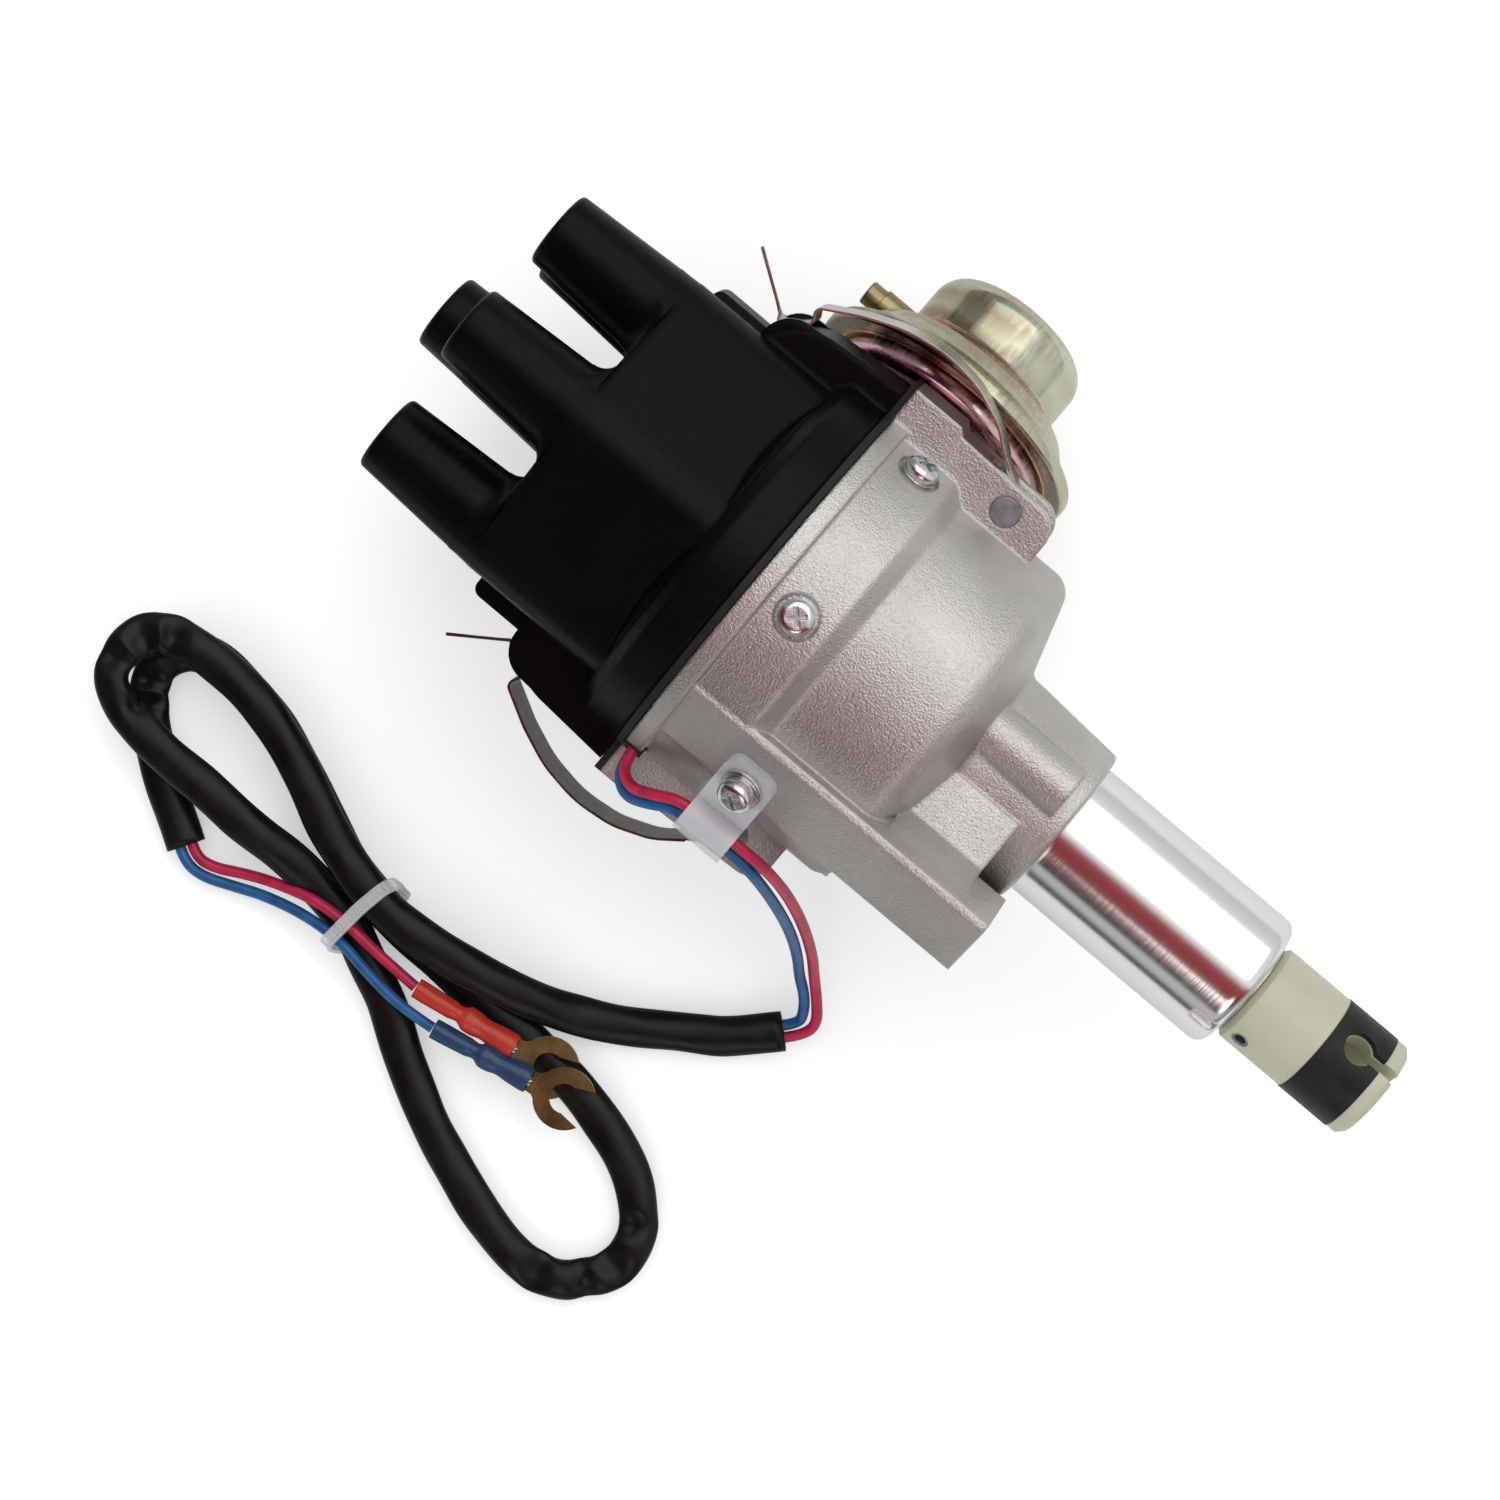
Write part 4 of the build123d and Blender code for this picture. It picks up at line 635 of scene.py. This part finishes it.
# Plated and bare metal on screws, clips, pins and the inner mechanism
metals = {
    "brightZinc": {
        "bright": (0.80, 0.81, 0.82), "dull": (0.60, 0.61, 0.63), "rough": 0.18, "edge": 0.0004,
        "nodes": ("side_screws", "side_washers", "clamp_screw", "clamp_washers", "bracket_screws"),
    },
    "clipSteel": {
        "bright": (0.66, 0.655, 0.63), "dull": (0.52, 0.515, 0.50), "rough": 0.22, "edge": 0.0002,
        "nodes": ("brush_spring",),
    },
    # Painted shade: the lower clip's steel is painted darker for the shadow that the cap casts on it
    "shadedClipSteel": {
        "bright": (0.20, 0.185, 0.16), "dull": (0.13, 0.12, 0.105), "rough": 0.24, "edge": 0.0002, "nodes": (),
    },
    "pinSteel": {
        "bright": (0.36, 0.40, 0.44), "dull": (0.22, 0.24, 0.28), "rough": 0.52, "edge": 0.0003,
        "nodes": ("clip_pins", "roll_pin"),
    },
    "satinPlate": {
        "bright": (0.62, 0.61, 0.58), "dull": (0.5, 0.49, 0.47), "rough": 0.34, "edge": 0.0002,
        "nodes": (
            "governor_plate", "weight_a", "weight_b", "fixed_plate", "moving_plate", "vacuum_rod", "thrust_washer",
        ),
    },
    "groundSteel": {
        "bright": (0.66, 0.66, 0.67), "dull": (0.55, 0.55, 0.57), "rough": 0.20, "edge": 0.0002,
        "nodes": ("shaft", "weight_pivots", "cam_sleeve", "reluctor", "pickup_core"),
    },
    "terminalAlloy": {
        "bright": (0.78, 0.78, 0.79), "dull": (0.66, 0.66, 0.67), "rough": 0.3, "edge": 0.00025,
        "nodes": ("tower_terminals", "centre_terminal"),
    },
    "bearingBronze": {
        "bright": (0.56, 0.38, 0.20), "dull": (0.42, 0.27, 0.14), "rough": 0.36, "edge": 0.00025,
        "nodes": ("upper_bush", "lower_bush"),
    },
    "rotorBrass": {
        "bright": (0.70, 0.52, 0.26), "dull": (0.55, 0.40, 0.2), "rough": 0.3, "edge": 0.00025,
        "nodes": ("rotor_electrode",),
    },
    "nippleZinc": {
        "bright": (0.34, 0.29, 0.15), "dull": (0.25, 0.20, 0.10), "rough": 0.3, "edge": 0.00025,
        "nodes": ("hose_nipple",),
    },
    "tinnedStrands": {
        "bright": (0.72, 0.72, 0.73), "dull": (0.5, 0.5, 0.52), "rough": 0.25, "edge": 0.0001, "nodes": (),
    },
}
metalWear = {
    "cloudSize": 0.003,
    "cloudSpan": (0.3, 0.7),
    "scratchSize": 0.0009,
    "scratchStretch": (1, 6, 6),
    "scratchDepth": 0.00002,
    "scratchStrength": 0.4,
    "smoother": 0.06,
    "rougher": 0.10,
}


def wornMetal(name, facts):
    metal = Finish(name, Metallic=1.0)
    cloud = metal.noise(metalWear["cloudSize"])
    scratches = metal.noise(metalWear["scratchSize"], 2, stretch=metalWear["scratchStretch"])
    rough = facts["rough"]
    return metal.feed(
        Base_Color=metal.mixed(cloud.between(*metalWear["cloudSpan"]), facts["dull"], facts["bright"]),
        Roughness=metal.blended(scratches, rough - metalWear["smoother"], rough + metalWear["rougher"]),
        Normal=metal.bump(
            scratches, metalWear["scratchDepth"], metalWear["scratchStrength"], metal.edges(facts["edge"])
        ),
    )


finishes = {}
for name, facts in metals.items():
    finishes[name] = wornMetal(name, facts)
    dress(finishes[name], *facts["nodes"])

# The spring clips' strip is thin, and their finger tails are narrow and turned edge up
clipStrip = {
    "eye": -0.052,
    "flat": 0.3,
    "thinner": 0.00018,
    "tail": -0.1035,
    "tailGap": 0.00001,
    "twist": 0.0008,
    "share": 0.36,
}


def springStrip(point, normal):
    across = Vector((0, -math.sin(clipRoll), math.cos(clipRoll)))
    flat = normal - across * normal.dot(across)
    if point.x < clipStrip["eye"] and flat.length > clipStrip["flat"]:
        point = point - flat.normalized() * clipStrip["thinner"]
    if point.x > clipStrip["tail"]:
        return point
    twisted = min(1, (clipStrip["tail"] - point.x) / clipStrip["twist"])
    turned = across.lerp(Vector((0, 0, 1)), twisted).normalized()
    return point + (turned * clipStrip["share"] - across) * point.dot(across)


tailCuts = (clipStrip["tail"] - clipStrip["tailGap"], clipStrip["tail"] - clipStrip["twist"])
# The lower clip gets the darker steel, which is painted shade from the cap
for side, steelName in (("upper", "clipSteel"), ("lower", "shadedClipSteel")):
    steel = finishes[steelName]
    reshaped(f"{side}SpringClip", f"{side}_clip", f"{side}_clip", steel, springStrip, tailCuts)
print("plated pieces dressed")

# Passivated zinc on the vacuum canister, with the tints that its film gives along the axis, and a pale painted sheen
# on the faces turned towards the light
canisterTilt = math.radians(14.5)
canister = {
    "axis": Vector((0.0, math.cos(canisterTilt), -math.sin(canisterTilt))),
    "foot": Vector((-0.0679, -0.00269, -0.01041)),
    "cupRoot": 0.0665,
    "cupGrowth": 0.00285,
}
zincFilm = {
    "cloudSize": 0.011,
    "cloudTwist": 0.8,
    "cloudShare": 0.32,
    "streakSize": 0.0011,
    "streakRough": 0.6,
    "streakStretch": (1, 0.10, 0.4),
    "streakShare": 0.10,
    "pale": (0.80, 0.84, 0.66),
    # faces turned towards this direction get the pale tint as painted sheen
    "paintedSheenTowards": (0.9, 0, 0.44),
    "paintedSheenStreaks": 0.9,
    "paintedSheenSpan": (0.30, 0.85),
    "rougher": 0.16,
    "roughSpan": (0.35, 0.7),
    "streakDepth": 0.00004,
    "streakStrength": 0.6,
    "edge": 0.0004,
}


def passivated(name, start, end, tints, rough, paintedSheenShare):
    coat = Finish(name, Metallic=1.0)
    reach = coat.along(canister["axis"]) - canister["foot"].dot(canister["axis"])
    cloud = coat.noise(zincFilm["cloudSize"], distortion=zincFilm["cloudTwist"])
    streaks = coat.noise(zincFilm["streakSize"], 3, zincFilm["streakRough"], zincFilm["streakStretch"])
    film = reach.between(start, end, "LINEAR") + (cloud - 0.5) * zincFilm["cloudShare"]
    film = film + (streaks - 0.5) * zincFilm["streakShare"]
    # Painted sheen: a pale tint on the faces turned towards +X and up, where the light falls, broken by the streaks
    pale = coat.facing(zincFilm["paintedSheenTowards"]) + (streaks - 0.5) * zincFilm["paintedSheenStreaks"]
    pale = pale.between(*zincFilm["paintedSheenSpan"])
    return coat.feed(
        Base_Color=coat.mixed(pale * paintedSheenShare, coat.ramp(film, *tints), zincFilm["pale"]),
        Roughness=coat.blended(streaks.between(*zincFilm["roughSpan"]), rough, rough + zincFilm["rougher"]),
        Normal=coat.bump(
            streaks, zincFilm["streakDepth"], zincFilm["streakStrength"], coat.edges(zincFilm["edge"])
        ),
    )


shellZinc = passivated("yellowZinc", 0.050, 0.0766, (
    (0.0, (0.38, 0.34, 0.26)), (0.10, (0.28, 0.25, 0.15)), (0.22, (0.46, 0.47, 0.34)), (0.32, (0.36, 0.31, 0.20)),
    (0.44, (0.50, 0.28, 0.25)), (0.52, (0.27, 0.22, 0.14)), (0.64, (0.46, 0.45, 0.32)), (0.78, (0.36, 0.29, 0.20)),
    (0.88, (0.52, 0.55, 0.42)), (1.0, (0.50, 0.34, 0.30)),
), rough=0.13, paintedSheenShare=0.55)
pinkZinc = passivated("pinkZinc", 0.0465, 0.052, (
    (0.0, (0.30, 0.14, 0.14)), (0.25, (0.66, 0.30, 0.40)), (0.5, (0.80, 0.55, 0.58)), (0.7, (0.62, 0.26, 0.34)),
    (1.0, (0.46, 0.36, 0.16)),
), rough=0.15, paintedSheenShare=0.2)


def longerCup(point, normal):
    reach = (point - canister["foot"]).dot(canister["axis"])
    return point + canister["axis"] * (canister["cupGrowth"] if reach > canister["cupRoot"] else 0)


reshaped("canisterShell", "outer_shell", "housing", shellZinc, longerCup)
dress(pinkZinc, "inner_shell", "vacuum_bracket")


def unmoved(point, normal):
    return point


# The coil inside the cup: the share of its length that would stay as the rod is drawn out is worked out, but the
# coil is not shortened
rodTravel = 0.004
vacuumCoil = reshaped("vacuumCoil", "vacuum_spring", "housing", finishes["clipSteel"], unmoved)
coilReach = [vertex.co.dot(canister["axis"]) for vertex in vacuumCoil.data.vertices]
coilEnd = canister["axis"] * max(coilReach)
coilKeep = 1 - rodTravel / (max(coilReach) - min(coilReach))
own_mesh(vacuumCoil)
print("canister dressed")

# Drive end
nylon = {
    "ivory": (0.60, 0.60, 0.46),
    "ivoryDeep": (0.52, 0.52, 0.38),
    "rough": 0.38,
    "subsurface": 0.12,
    "subsurfaceReach": (0.002, 0.002, 0.0012),
    "tintSize": 0.006,
    "grainSize": 0.0009,
    "grainDepth": 0.00004,
    "grainStrength": 0.4,
    "edge": 0.0004,
}
ivory = Finish(
    "ivoryNylon",
    Roughness=nylon["rough"],
    Subsurface_Weight=nylon["subsurface"],
    Subsurface_Radius=nylon["subsurfaceReach"],
)
ivory.feed(
    Base_Color=ivory.mixed(ivory.noise(nylon["tintSize"]), nylon["ivoryDeep"], nylon["ivory"]),
    Normal=ivory.bump(
        ivory.noise(nylon["grainSize"]), nylon["grainDepth"], nylon["grainStrength"], ivory.edges(nylon["edge"])
    ),
)
dress(ivory.material, "drive_coupling")

# Rubber and mouldings: a tint that drifts over the surface, a fine grain and soft edges
mouldings = {
    "darkRing": {
        "plain": {"Specular_IOR_Level": 0.25},
        "tint": (0.003, 4), "stops": ((0.3, 0.010), (0.8, 0.022)),
        "grain": (0.0008, 3), "depth": 0.00005, "edge": 0.0003,
        "rough": (0.38, 0.52), "nodes": ("coupling_ring",),
    },
    "blackRubber": {
        "plain": {"Specular_IOR_Level": 0.3, "Roughness": 0.62},
        "tint": (0.005, 3), "stops": ((0.3, 0.008), (0.8, 0.02)),
        "grain": (0.0006, 2), "depth": 0.00005, "edge": 0.0003,
        "nodes": ("cap_gasket", "lead_grommet", "diaphragm"),
    },
    "rotorMoulding": {
        "plain": {"Roughness": 0.36},
        "tint": (0.004, 3), "stops": ((0.3, (0.018, 0.012, 0.011)), (0.8, (0.032, 0.022, 0.02))),
        "grain": (0.0008, 3), "depth": 0.00004, "edge": 0.0004, "nodes": ("rotor_arm",),
    },
    "coilTape": {
        "plain": {"Roughness": 0.5},
        "tint": (0.003, 3), "stops": ((0.3, (0.012, 0.02, 0.012)), (0.8, (0.03, 0.045, 0.025))),
        "grain": (0.0009, 3), "depth": 0.00006, "edge": 0.0003, "nodes": ("pickup_coil",),
    },
    "carbonBrush": {
        "plain": {"Roughness": 0.6},
        "tint": (0.0007, 3), "stops": ((0.3, 0.012), (0.8, 0.03)),
        "grain": (0.0005, 3), "depth": 0.00003, "nodes": ("carbon_brush",),
    },
}
mouldedGrain = 0.5
mouldedRoughSize = 0.001
for name, facts in mouldings.items():
    skin = Finish(name, **facts["plain"])
    under = skin.edges(facts["edge"]) if "edge" in facts else None
    links = {
        "Base_Color": skin.ramp(skin.noise(*facts["tint"]), *facts["stops"]),
        "Normal": skin.bump(skin.noise(*facts["grain"]), facts["depth"], mouldedGrain, under),
    }
    if "rough" in facts:
        links["Roughness"] = skin.blended(skin.noise(mouldedRoughSize), *facts["rough"])
    dress(skin.feed(**links), *facts["nodes"])
print("inner pieces dressed")

# Milky nylon of the clamp and the tie
milkyLook = {
    "rough": 0.28,
    "bend": 1.5,
    "alpha": 0.48,
    "tintSize": 0.005,
    "grey": (0.78, 0.79, 0.84),
    "white": (0.90, 0.90, 0.93),
    "grainSize": 0.0015,
    "grainDepth": 0.00006,
    "grainStrength": 0.4,
    "edge": 0.0003,
}
milky = Finish("milkyNylon", Roughness=milkyLook["rough"], IOR=milkyLook["bend"], Alpha=milkyLook["alpha"])
milky.feed(
    Base_Color=milky.mixed(milky.noise(milkyLook["tintSize"]), milkyLook["grey"], milkyLook["white"]),
    Normal=milky.bump(
        milky.noise(milkyLook["grainSize"]), milkyLook["grainDepth"], milkyLook["grainStrength"],
        milky.edges(milkyLook["edge"]),
    ),
)
dress(milky.material, "wire_clamp")

# Ribbed strap round the three strands and the two tails
tie = {
    "centre": (-92.0, -98.6, 0.0),
    "skew": math.radians(10),
    "lean": 0.24,
    "corners": [
        (4.6, -38.2, 3.6), (4.6, -51.55, 3.4), (-12.3, -51.55, 3.4), (-13.4, -41.6, 2.2), (-3.6, -38.2, 9.0),
    ],
    "middle": (-4.4, -45.0),
    "arcSteps": 8,
    "spacing": 0.26,
    "ribRun": 4,
    "half": 1.3,
    "rail": 0.38,
    "thick": 1.0,
    "rib": 0.92,
    "valley": 0.55,
}


# Closed outline through arcs of the given radii, as points (across, height)
def roundedLoop(corners):
    points = []
    for index, (x, z, radius) in enumerate(corners):
        here = Vector((x, z))
        before = (Vector(corners[index - 1][:2]) - here).normalized()
        after = (Vector(corners[(index + 1) % len(corners)][:2]) - here).normalized()
        half = before.angle(after) / 2
        centre = here + (before + after).normalized() * (radius / math.sin(half))
        start = here + before * (radius / math.tan(half)) - centre
        end = here + after * (radius / math.tan(half)) - centre
        sweep = start.angle(end)
        sign = 1 if start.cross(end) > 0 else -1
        for step in range(tie["arcSteps"] + 1):
            turn = sign * sweep * step / tie["arcSteps"]
            cosine, sine = math.cos(turn), math.sin(turn)
            points.append(centre + Vector((start.x * cosine - start.y * sine, start.x * sine + start.y * cosine)))
    return points


def evenly(points, spacing):
    spans = [(points[(index + 1) % len(points)] - point).length for index, point in enumerate(points)]
    count = tie["ribRun"] * round(sum(spans) / spacing / tie["ribRun"])
    result, index, left = [], 0, 0.0
    for step in range(count):
        target = sum(spans) * step / count
        while left + spans[index] < target:
            left += spans[index]
            index += 1
        share = (target - left) / spans[index]
        result.append(points[index].lerp(points[(index + 1) % len(points)], share))
    return result


def strapTie(name):
    loop = evenly(roundedLoop(tie["corners"]), tie["spacing"])
    middle = Vector(tie["middle"])
    ahead = Vector((math.cos(tie["skew"]), -math.sin(tie["skew"]), 0))
    across = Vector((math.sin(tie["skew"]), math.cos(tie["skew"]), 0))
    inner = tie["half"] - tie["rail"]
    rings = []
    for index, point in enumerate(loop):
        run = loop[(index + 1) % len(loop)] - loop[index - 1]
        out = Vector((run.y, -run.x)).normalized()
        if out.dot(point - middle) < 0:
            out = -out
        floor = tie["rib"] if index % tie["ribRun"] < tie["ribRun"] // 2 else tie["valley"]
        section = [
            (-tie["half"], 0), (-tie["half"], tie["thick"]), (-inner, tie["thick"]), (-inner, floor),
            (inner, floor), (inner, tie["thick"]), (tie["half"], tie["thick"]), (tie["half"], 0),
        ]
        ring = []
        for wide, rise in section:
            spot = point + out * rise
            forwards = wide - tie["lean"] * (spot.y - middle.y)
            place = Vector(tie["centre"]) + across * spot.x + Vector((0, 0, spot.y)) + ahead * forwards
            ring.append(place * millimetre)
        rings.append(ring)
    piece = tubeMesh(name, rings, closed=True, smooth=False)
    return fitted(piece, milky.material, "housing", "cable_tie")


tiePiece = strapTie("strapTie")

# Brown brass of the fork terminals, with a painted gold highlight on the faces turned away from up
forkLook = {
    "upright": (0.35, 0.8),
    "paintedHighlightGold": (0.92, 0.66, 0.30),
    "tarnishSize": 0.006,
    "tarnishSpan": (0.3, 0.7),
    "dark": (0.12, 0.077, 0.036),
    "gold": (0.21, 0.14, 0.065),
    "rough": (0.16, 0.34),
    "grainSize": 0.0008,
    "grainDepth": 0.00003,
    "grainStrength": 0.5,
    "edge": 0.00015,
}
forkBrass = Finish("forkBrass", Metallic=1.0)
tarnish = forkBrass.noise(forkLook["tarnishSize"], 2)
forkFace = forkBrass.mixed(tarnish.between(*forkLook["tarnishSpan"]), forkLook["dark"], forkLook["gold"])
# Painted highlight: faces turned away from up get the bright gold, faces turned up the brown brass
forkUpright = forkBrass.facing((0, 0, 1)).between(*forkLook["upright"])
forkBrass.feed(
    Base_Color=forkBrass.mixed(forkUpright, forkLook["paintedHighlightGold"], forkFace),
    Roughness=forkBrass.blended(tarnish, *forkLook["rough"]),
    Normal=forkBrass.bump(
        forkBrass.noise(forkLook["grainSize"]), forkLook["grainDepth"], forkLook["grainStrength"],
        forkBrass.edges(forkLook["edge"]),
    ),
)
dress(forkBrass.material, "red_fork", "blue_fork")

# Heat-shrink tubes: tight on the wire and swollen over the terminal's barrel
shrink = {
    "profile": [
        (0.0, 2.10), (0.34, 2.02), (0.44, 1.70), (0.52, 2.50), (0.58, 2.46),
        (0.70, 2.12), (0.84, 2.42), (0.95, 2.50), (1.0, 2.40),
    ],
    "stations": 60,
    "around": 32,
    "barrelStart": 0.45,
    "barrelRun": 0.1,
    "flatWide": 0.10,
    "flatHigh": 0.15,
    "pucker": 0.16,
    "puckerPlace": 0.49,
    "puckerRun": 0.05,
    "uneven": 0.03,
    "unevenTurn": 14,
    "wire": 1.2,
    "wall": 0.35,
    "depth": 0.2,
    "rough": 0.27,
    "tintSize": 0.004,
    "creaseSize": 0.002,
    "creaseTwist": 0.6,
    "creaseDepth": 0.0002,
    "creaseStrength": 0.5,
}
shrinkTubes = {
    "red": {
        "ends": ((-75.5, -107.0, -43.7), (-52.5, -103.5, -43.5)),
        "bright": (0.62, 0.045, 0.02),
        "deep": (0.46, 0.026, 0.012),
    },
    "blue": {
        "ends": ((-67.5, -111.0, -43.7), (-46.0, -106.5, -42.2)),
        "bright": (0.026, 0.07, 0.17),
        "deep": (0.013, 0.035, 0.10),
    },
}


def profileRadius(share):
    for (low, first), (high, second) in zip(shrink["profile"], shrink["profile"][1:]):
        if share <= high:
            part = (share - low) / (high - low)
            part = part * part * (3 - 2 * part)
            return first + (second - first) * part
    return shrink["profile"][-1][1]


def shrinkFrame(ends):
    start, end = Vector(ends[0]), Vector(ends[1])
    ahead = (end - start).normalized()
    side = Vector((0, 0, 1)).cross(ahead).normalized()
    return start, end, ahead, side, ahead.cross(side)


def shrinkRings(ends):
    start, end, ahead, side, top = shrinkFrame(ends)
    rings = [[
        (start + (side * math.cos(angle) + top * math.sin(angle)) * shrink["wire"]) * millimetre
        for angle in turns(shrink["around"])
    ]]
    stations = [(station / shrink["stations"], 0.0) for station in range(shrink["stations"] + 1)]
    stations += [(1.0, shrink["wall"]), (1 - shrink["depth"], shrink["wall"])]
    for share, sunk in stations:
        barrel = min(1, max(0, (share - shrink["barrelStart"]) / shrink["barrelRun"]))
        pucker = shrink["pucker"] * math.exp(-((share - shrink["puckerPlace"]) / shrink["puckerRun"]) ** 2)
        ring = []
        for angle in turns(shrink["around"]):
            radius = profileRadius(share) - sunk + pucker * math.sin(3 * angle + 1)
            radius += shrink["uneven"] * math.sin(2 * angle + shrink["unevenTurn"] * share)
            wide = math.cos(angle) * (1 + shrink["flatWide"] * barrel * share)
            high = math.sin(angle) * (1 - shrink["flatHigh"] * barrel * share)
            ring.append((start.lerp(end, share) + (side * wide + top * high) * radius) * millimetre)
        rings.append(ring)
    return rings


# Cut ends of the wire's strands that show in the mouth of the barrel
strands = {
    "count": 7,
    "radius": 0.32,
    "spread": 0.95,
    "lower": 0.8,
    "out": 0.55,
    "uneven": 2.4,
    "deep": 4.0,
    "segments": 10,
}


def strandBundle(name, ends):
    start, end, ahead, side, top = shrinkFrame(ends)
    turned = ahead.to_track_quat("Z", "Y").to_matrix().to_4x4()
    radius = strands["radius"] * millimetre
    mesh = bmesh.new()
    for index, angle in enumerate(turns(strands["count"])):
        spread = strands["spread"] if index else 0.0
        middle = end + side * spread * math.cos(angle) + top * spread * math.sin(angle) * strands["lower"]
        length = strands["deep"] + strands["out"] * (0.5 + 0.5 * math.cos(strands["uneven"] * index))
        shift = Matrix.Translation((middle + ahead * (length / 2 - strands["deep"])) * millimetre)
        bmesh.ops.create_cone(
            mesh, cap_ends=True, segments=strands["segments"], radius1=radius, radius2=radius,
            depth=length * millimetre, matrix=shift @ turned,
        )
    return fitted(meshPiece(name, mesh), finishes["tinnedStrands"], "housing")


def shrinkSkin(name, facts):
    skin = Finish(name, Roughness=shrink["rough"])
    crease = skin.noise(shrink["creaseSize"], distortion=shrink["creaseTwist"])
    return skin.feed(
        Base_Color=skin.mixed(skin.noise(shrink["tintSize"]), facts["deep"], facts["bright"]),
        Normal=skin.bump(crease, shrink["creaseDepth"], shrink["creaseStrength"]),
    )


harnessEnds = {}
for colourName, facts in shrinkTubes.items():
    node = f"{colourName}_shrink"
    tube = tubeMesh(f"{colourName}ShrinkTube", shrinkRings(facts["ends"]))
    harnessEnds[colourName] = [fitted(tube, shrinkSkin(f"{colourName}Shrink", facts), "housing", node)]
for colourName, facts in shrinkTubes.items():
    harnessEnds[colourName] += [strandBundle(f"{colourName}Strands", facts["ends"]), f"{colourName}_fork"]
print("harness ends dressed")

# Studio: pale floor that keeps the shadow, a large soft light above, a room that metal reflects
studio = {
    "floorPlace": (-0.055, -0.03, -0.05265),
    "floorReach": 0.55,
    "floorSides": 96,
    "floorColour": 0.88,
    "floorRough": 0.9,
    "floorLift": 0.40,
    "floorFade": (0.36, 0.54),
    "aim": (-0.05, -0.02, 0),
    "key": {"place": (-0.25, 0.75, 1.25), "size": 1.7, "power": 9.5},
    "fill": {"place": (0.5, -0.9, 0.8), "size": 0.6, "power": 1.8},
    "world": 0.60,
    "roomDark": 0.42,
    "roomSides": (-0.7, 0.15),
    "roomStops": [
        (0.0, 0.52), (0.22, 0.54), (0.30, 0.70), (0.505, 0.82), (0.53, (0.32, 0.04, 0.048)),
        (0.60, (0.20, 0.022, 0.03)), (0.655, (0.10, 0.02, 0.024)), (0.665, (0.015, 0.015, 0.015)),
        (0.68, (0.015, 0.015, 0.015)), (0.69, 0.50), (0.72, 0.48), (0.745, 0.08), (0.78, 0.06),
        (0.85, 0.3), (1.0, 0.5),
    ],
}


def softLight(name, facts):
    lamp = bpy.data.lights.new(name, "AREA")
    lamp.size = facts["size"]
    lamp.energy = facts["power"]
    holder = linked(name, lamp)
    holder.location = facts["place"]
    aim = Vector(studio["aim"]) - Vector(facts["place"])
    holder.rotation_euler = aim.to_track_quat("-Z", "Y").to_euler()


softLight("keyLight", studio["key"])
softLight("fillLight", studio["fill"])
bpy.ops.object.select_all(action="DESELECT")
bpy.ops.mesh.primitive_circle_add(
    vertices=studio["floorSides"], radius=studio["floorReach"], fill_type="NGON", location=studio["floorPlace"]
)
floor = bpy.context.object
floor.name = "studioFloor"
paper = Finish(
    "studioPaper",
    Base_Color=opaque(studio["floorColour"]),
    Roughness=studio["floorRough"],
    Specular_IOR_Level=0.0,
    Emission_Color=opaque(1.0),
)
paper.feed(Emission_Strength=paper.node("ShaderNodeLightPath", output="Is Camera Ray") * studio["floorLift"])
away = paper.node("ShaderNodeVectorMath", {"operation": "LENGTH"}, {0: paper.place}, "Value")
faded = paper.node("ShaderNodeMixShader", None, {
    0: away.between(*studio["floorFade"]),
    1: Socket(paper, paper.shader.outputs[0]),
    2: paper.node("ShaderNodeBsdfTransparent"),
})
paper.tree.links.new(faded.output, paper.tree.nodes["Material Output"].inputs["Surface"])
floor.data.materials.append(paper.material)

world = bpy.data.worlds.new("studioRoom")
scene.world = world
world.use_nodes = True
room = Graph(world.node_tree)
direction = room.node("ShaderNodeTexCoord", output="Generated")
towardsX, towardsY, towardsZ = (
    room.node("ShaderNodeSeparateXYZ", None, {0: direction}, letter) for letter in "XYZ"
)
lean = (towardsY * -1).arcTangent(towardsZ) / math.pi * 0.5 + 0.5
sideways = towardsX.between(*studio["roomSides"]) * (1 - studio["roomDark"]) + studio["roomDark"]
walls = room.node(
    "ShaderNodeVectorMath", {"operation": "SCALE"}, {0: room.ramp(lean, *studio["roomStops"]), "Scale": sideways}
)
glossy = room.node("ShaderNodeLightPath", output="Is Glossy Ray")
seen = room.node("ShaderNodeLightPath", output="Is Camera Ray")
shown = room.mixed(seen, room.mixed(glossy, studio["world"], walls), 1.0)
world.node_tree.links.new(shown.output, world.node_tree.nodes["Background"].inputs["Color"])
print("studio built")


def metres(point):
    return tuple(value * millimetre for value in point)


# Free cords with their routes, spans, ends and fittings: each first point, and the sleeve's, is turned into metres,
# and nothing is kept
for piece, route, span, end, along in (
    (redLead, redLeadRoute, 0.1275, "object", []),
    (blueLead, blueLeadRoute, 0.123, "object", []),
    (redTail, redTailRoute, 0.0566, "fitting", harnessEnds["red"]),
    (blueTail, blueTailRoute, 0.0655, "fitting", harnessEnds["blue"]),
):
    metres(route[0])
metres(sleeveRoute[0])
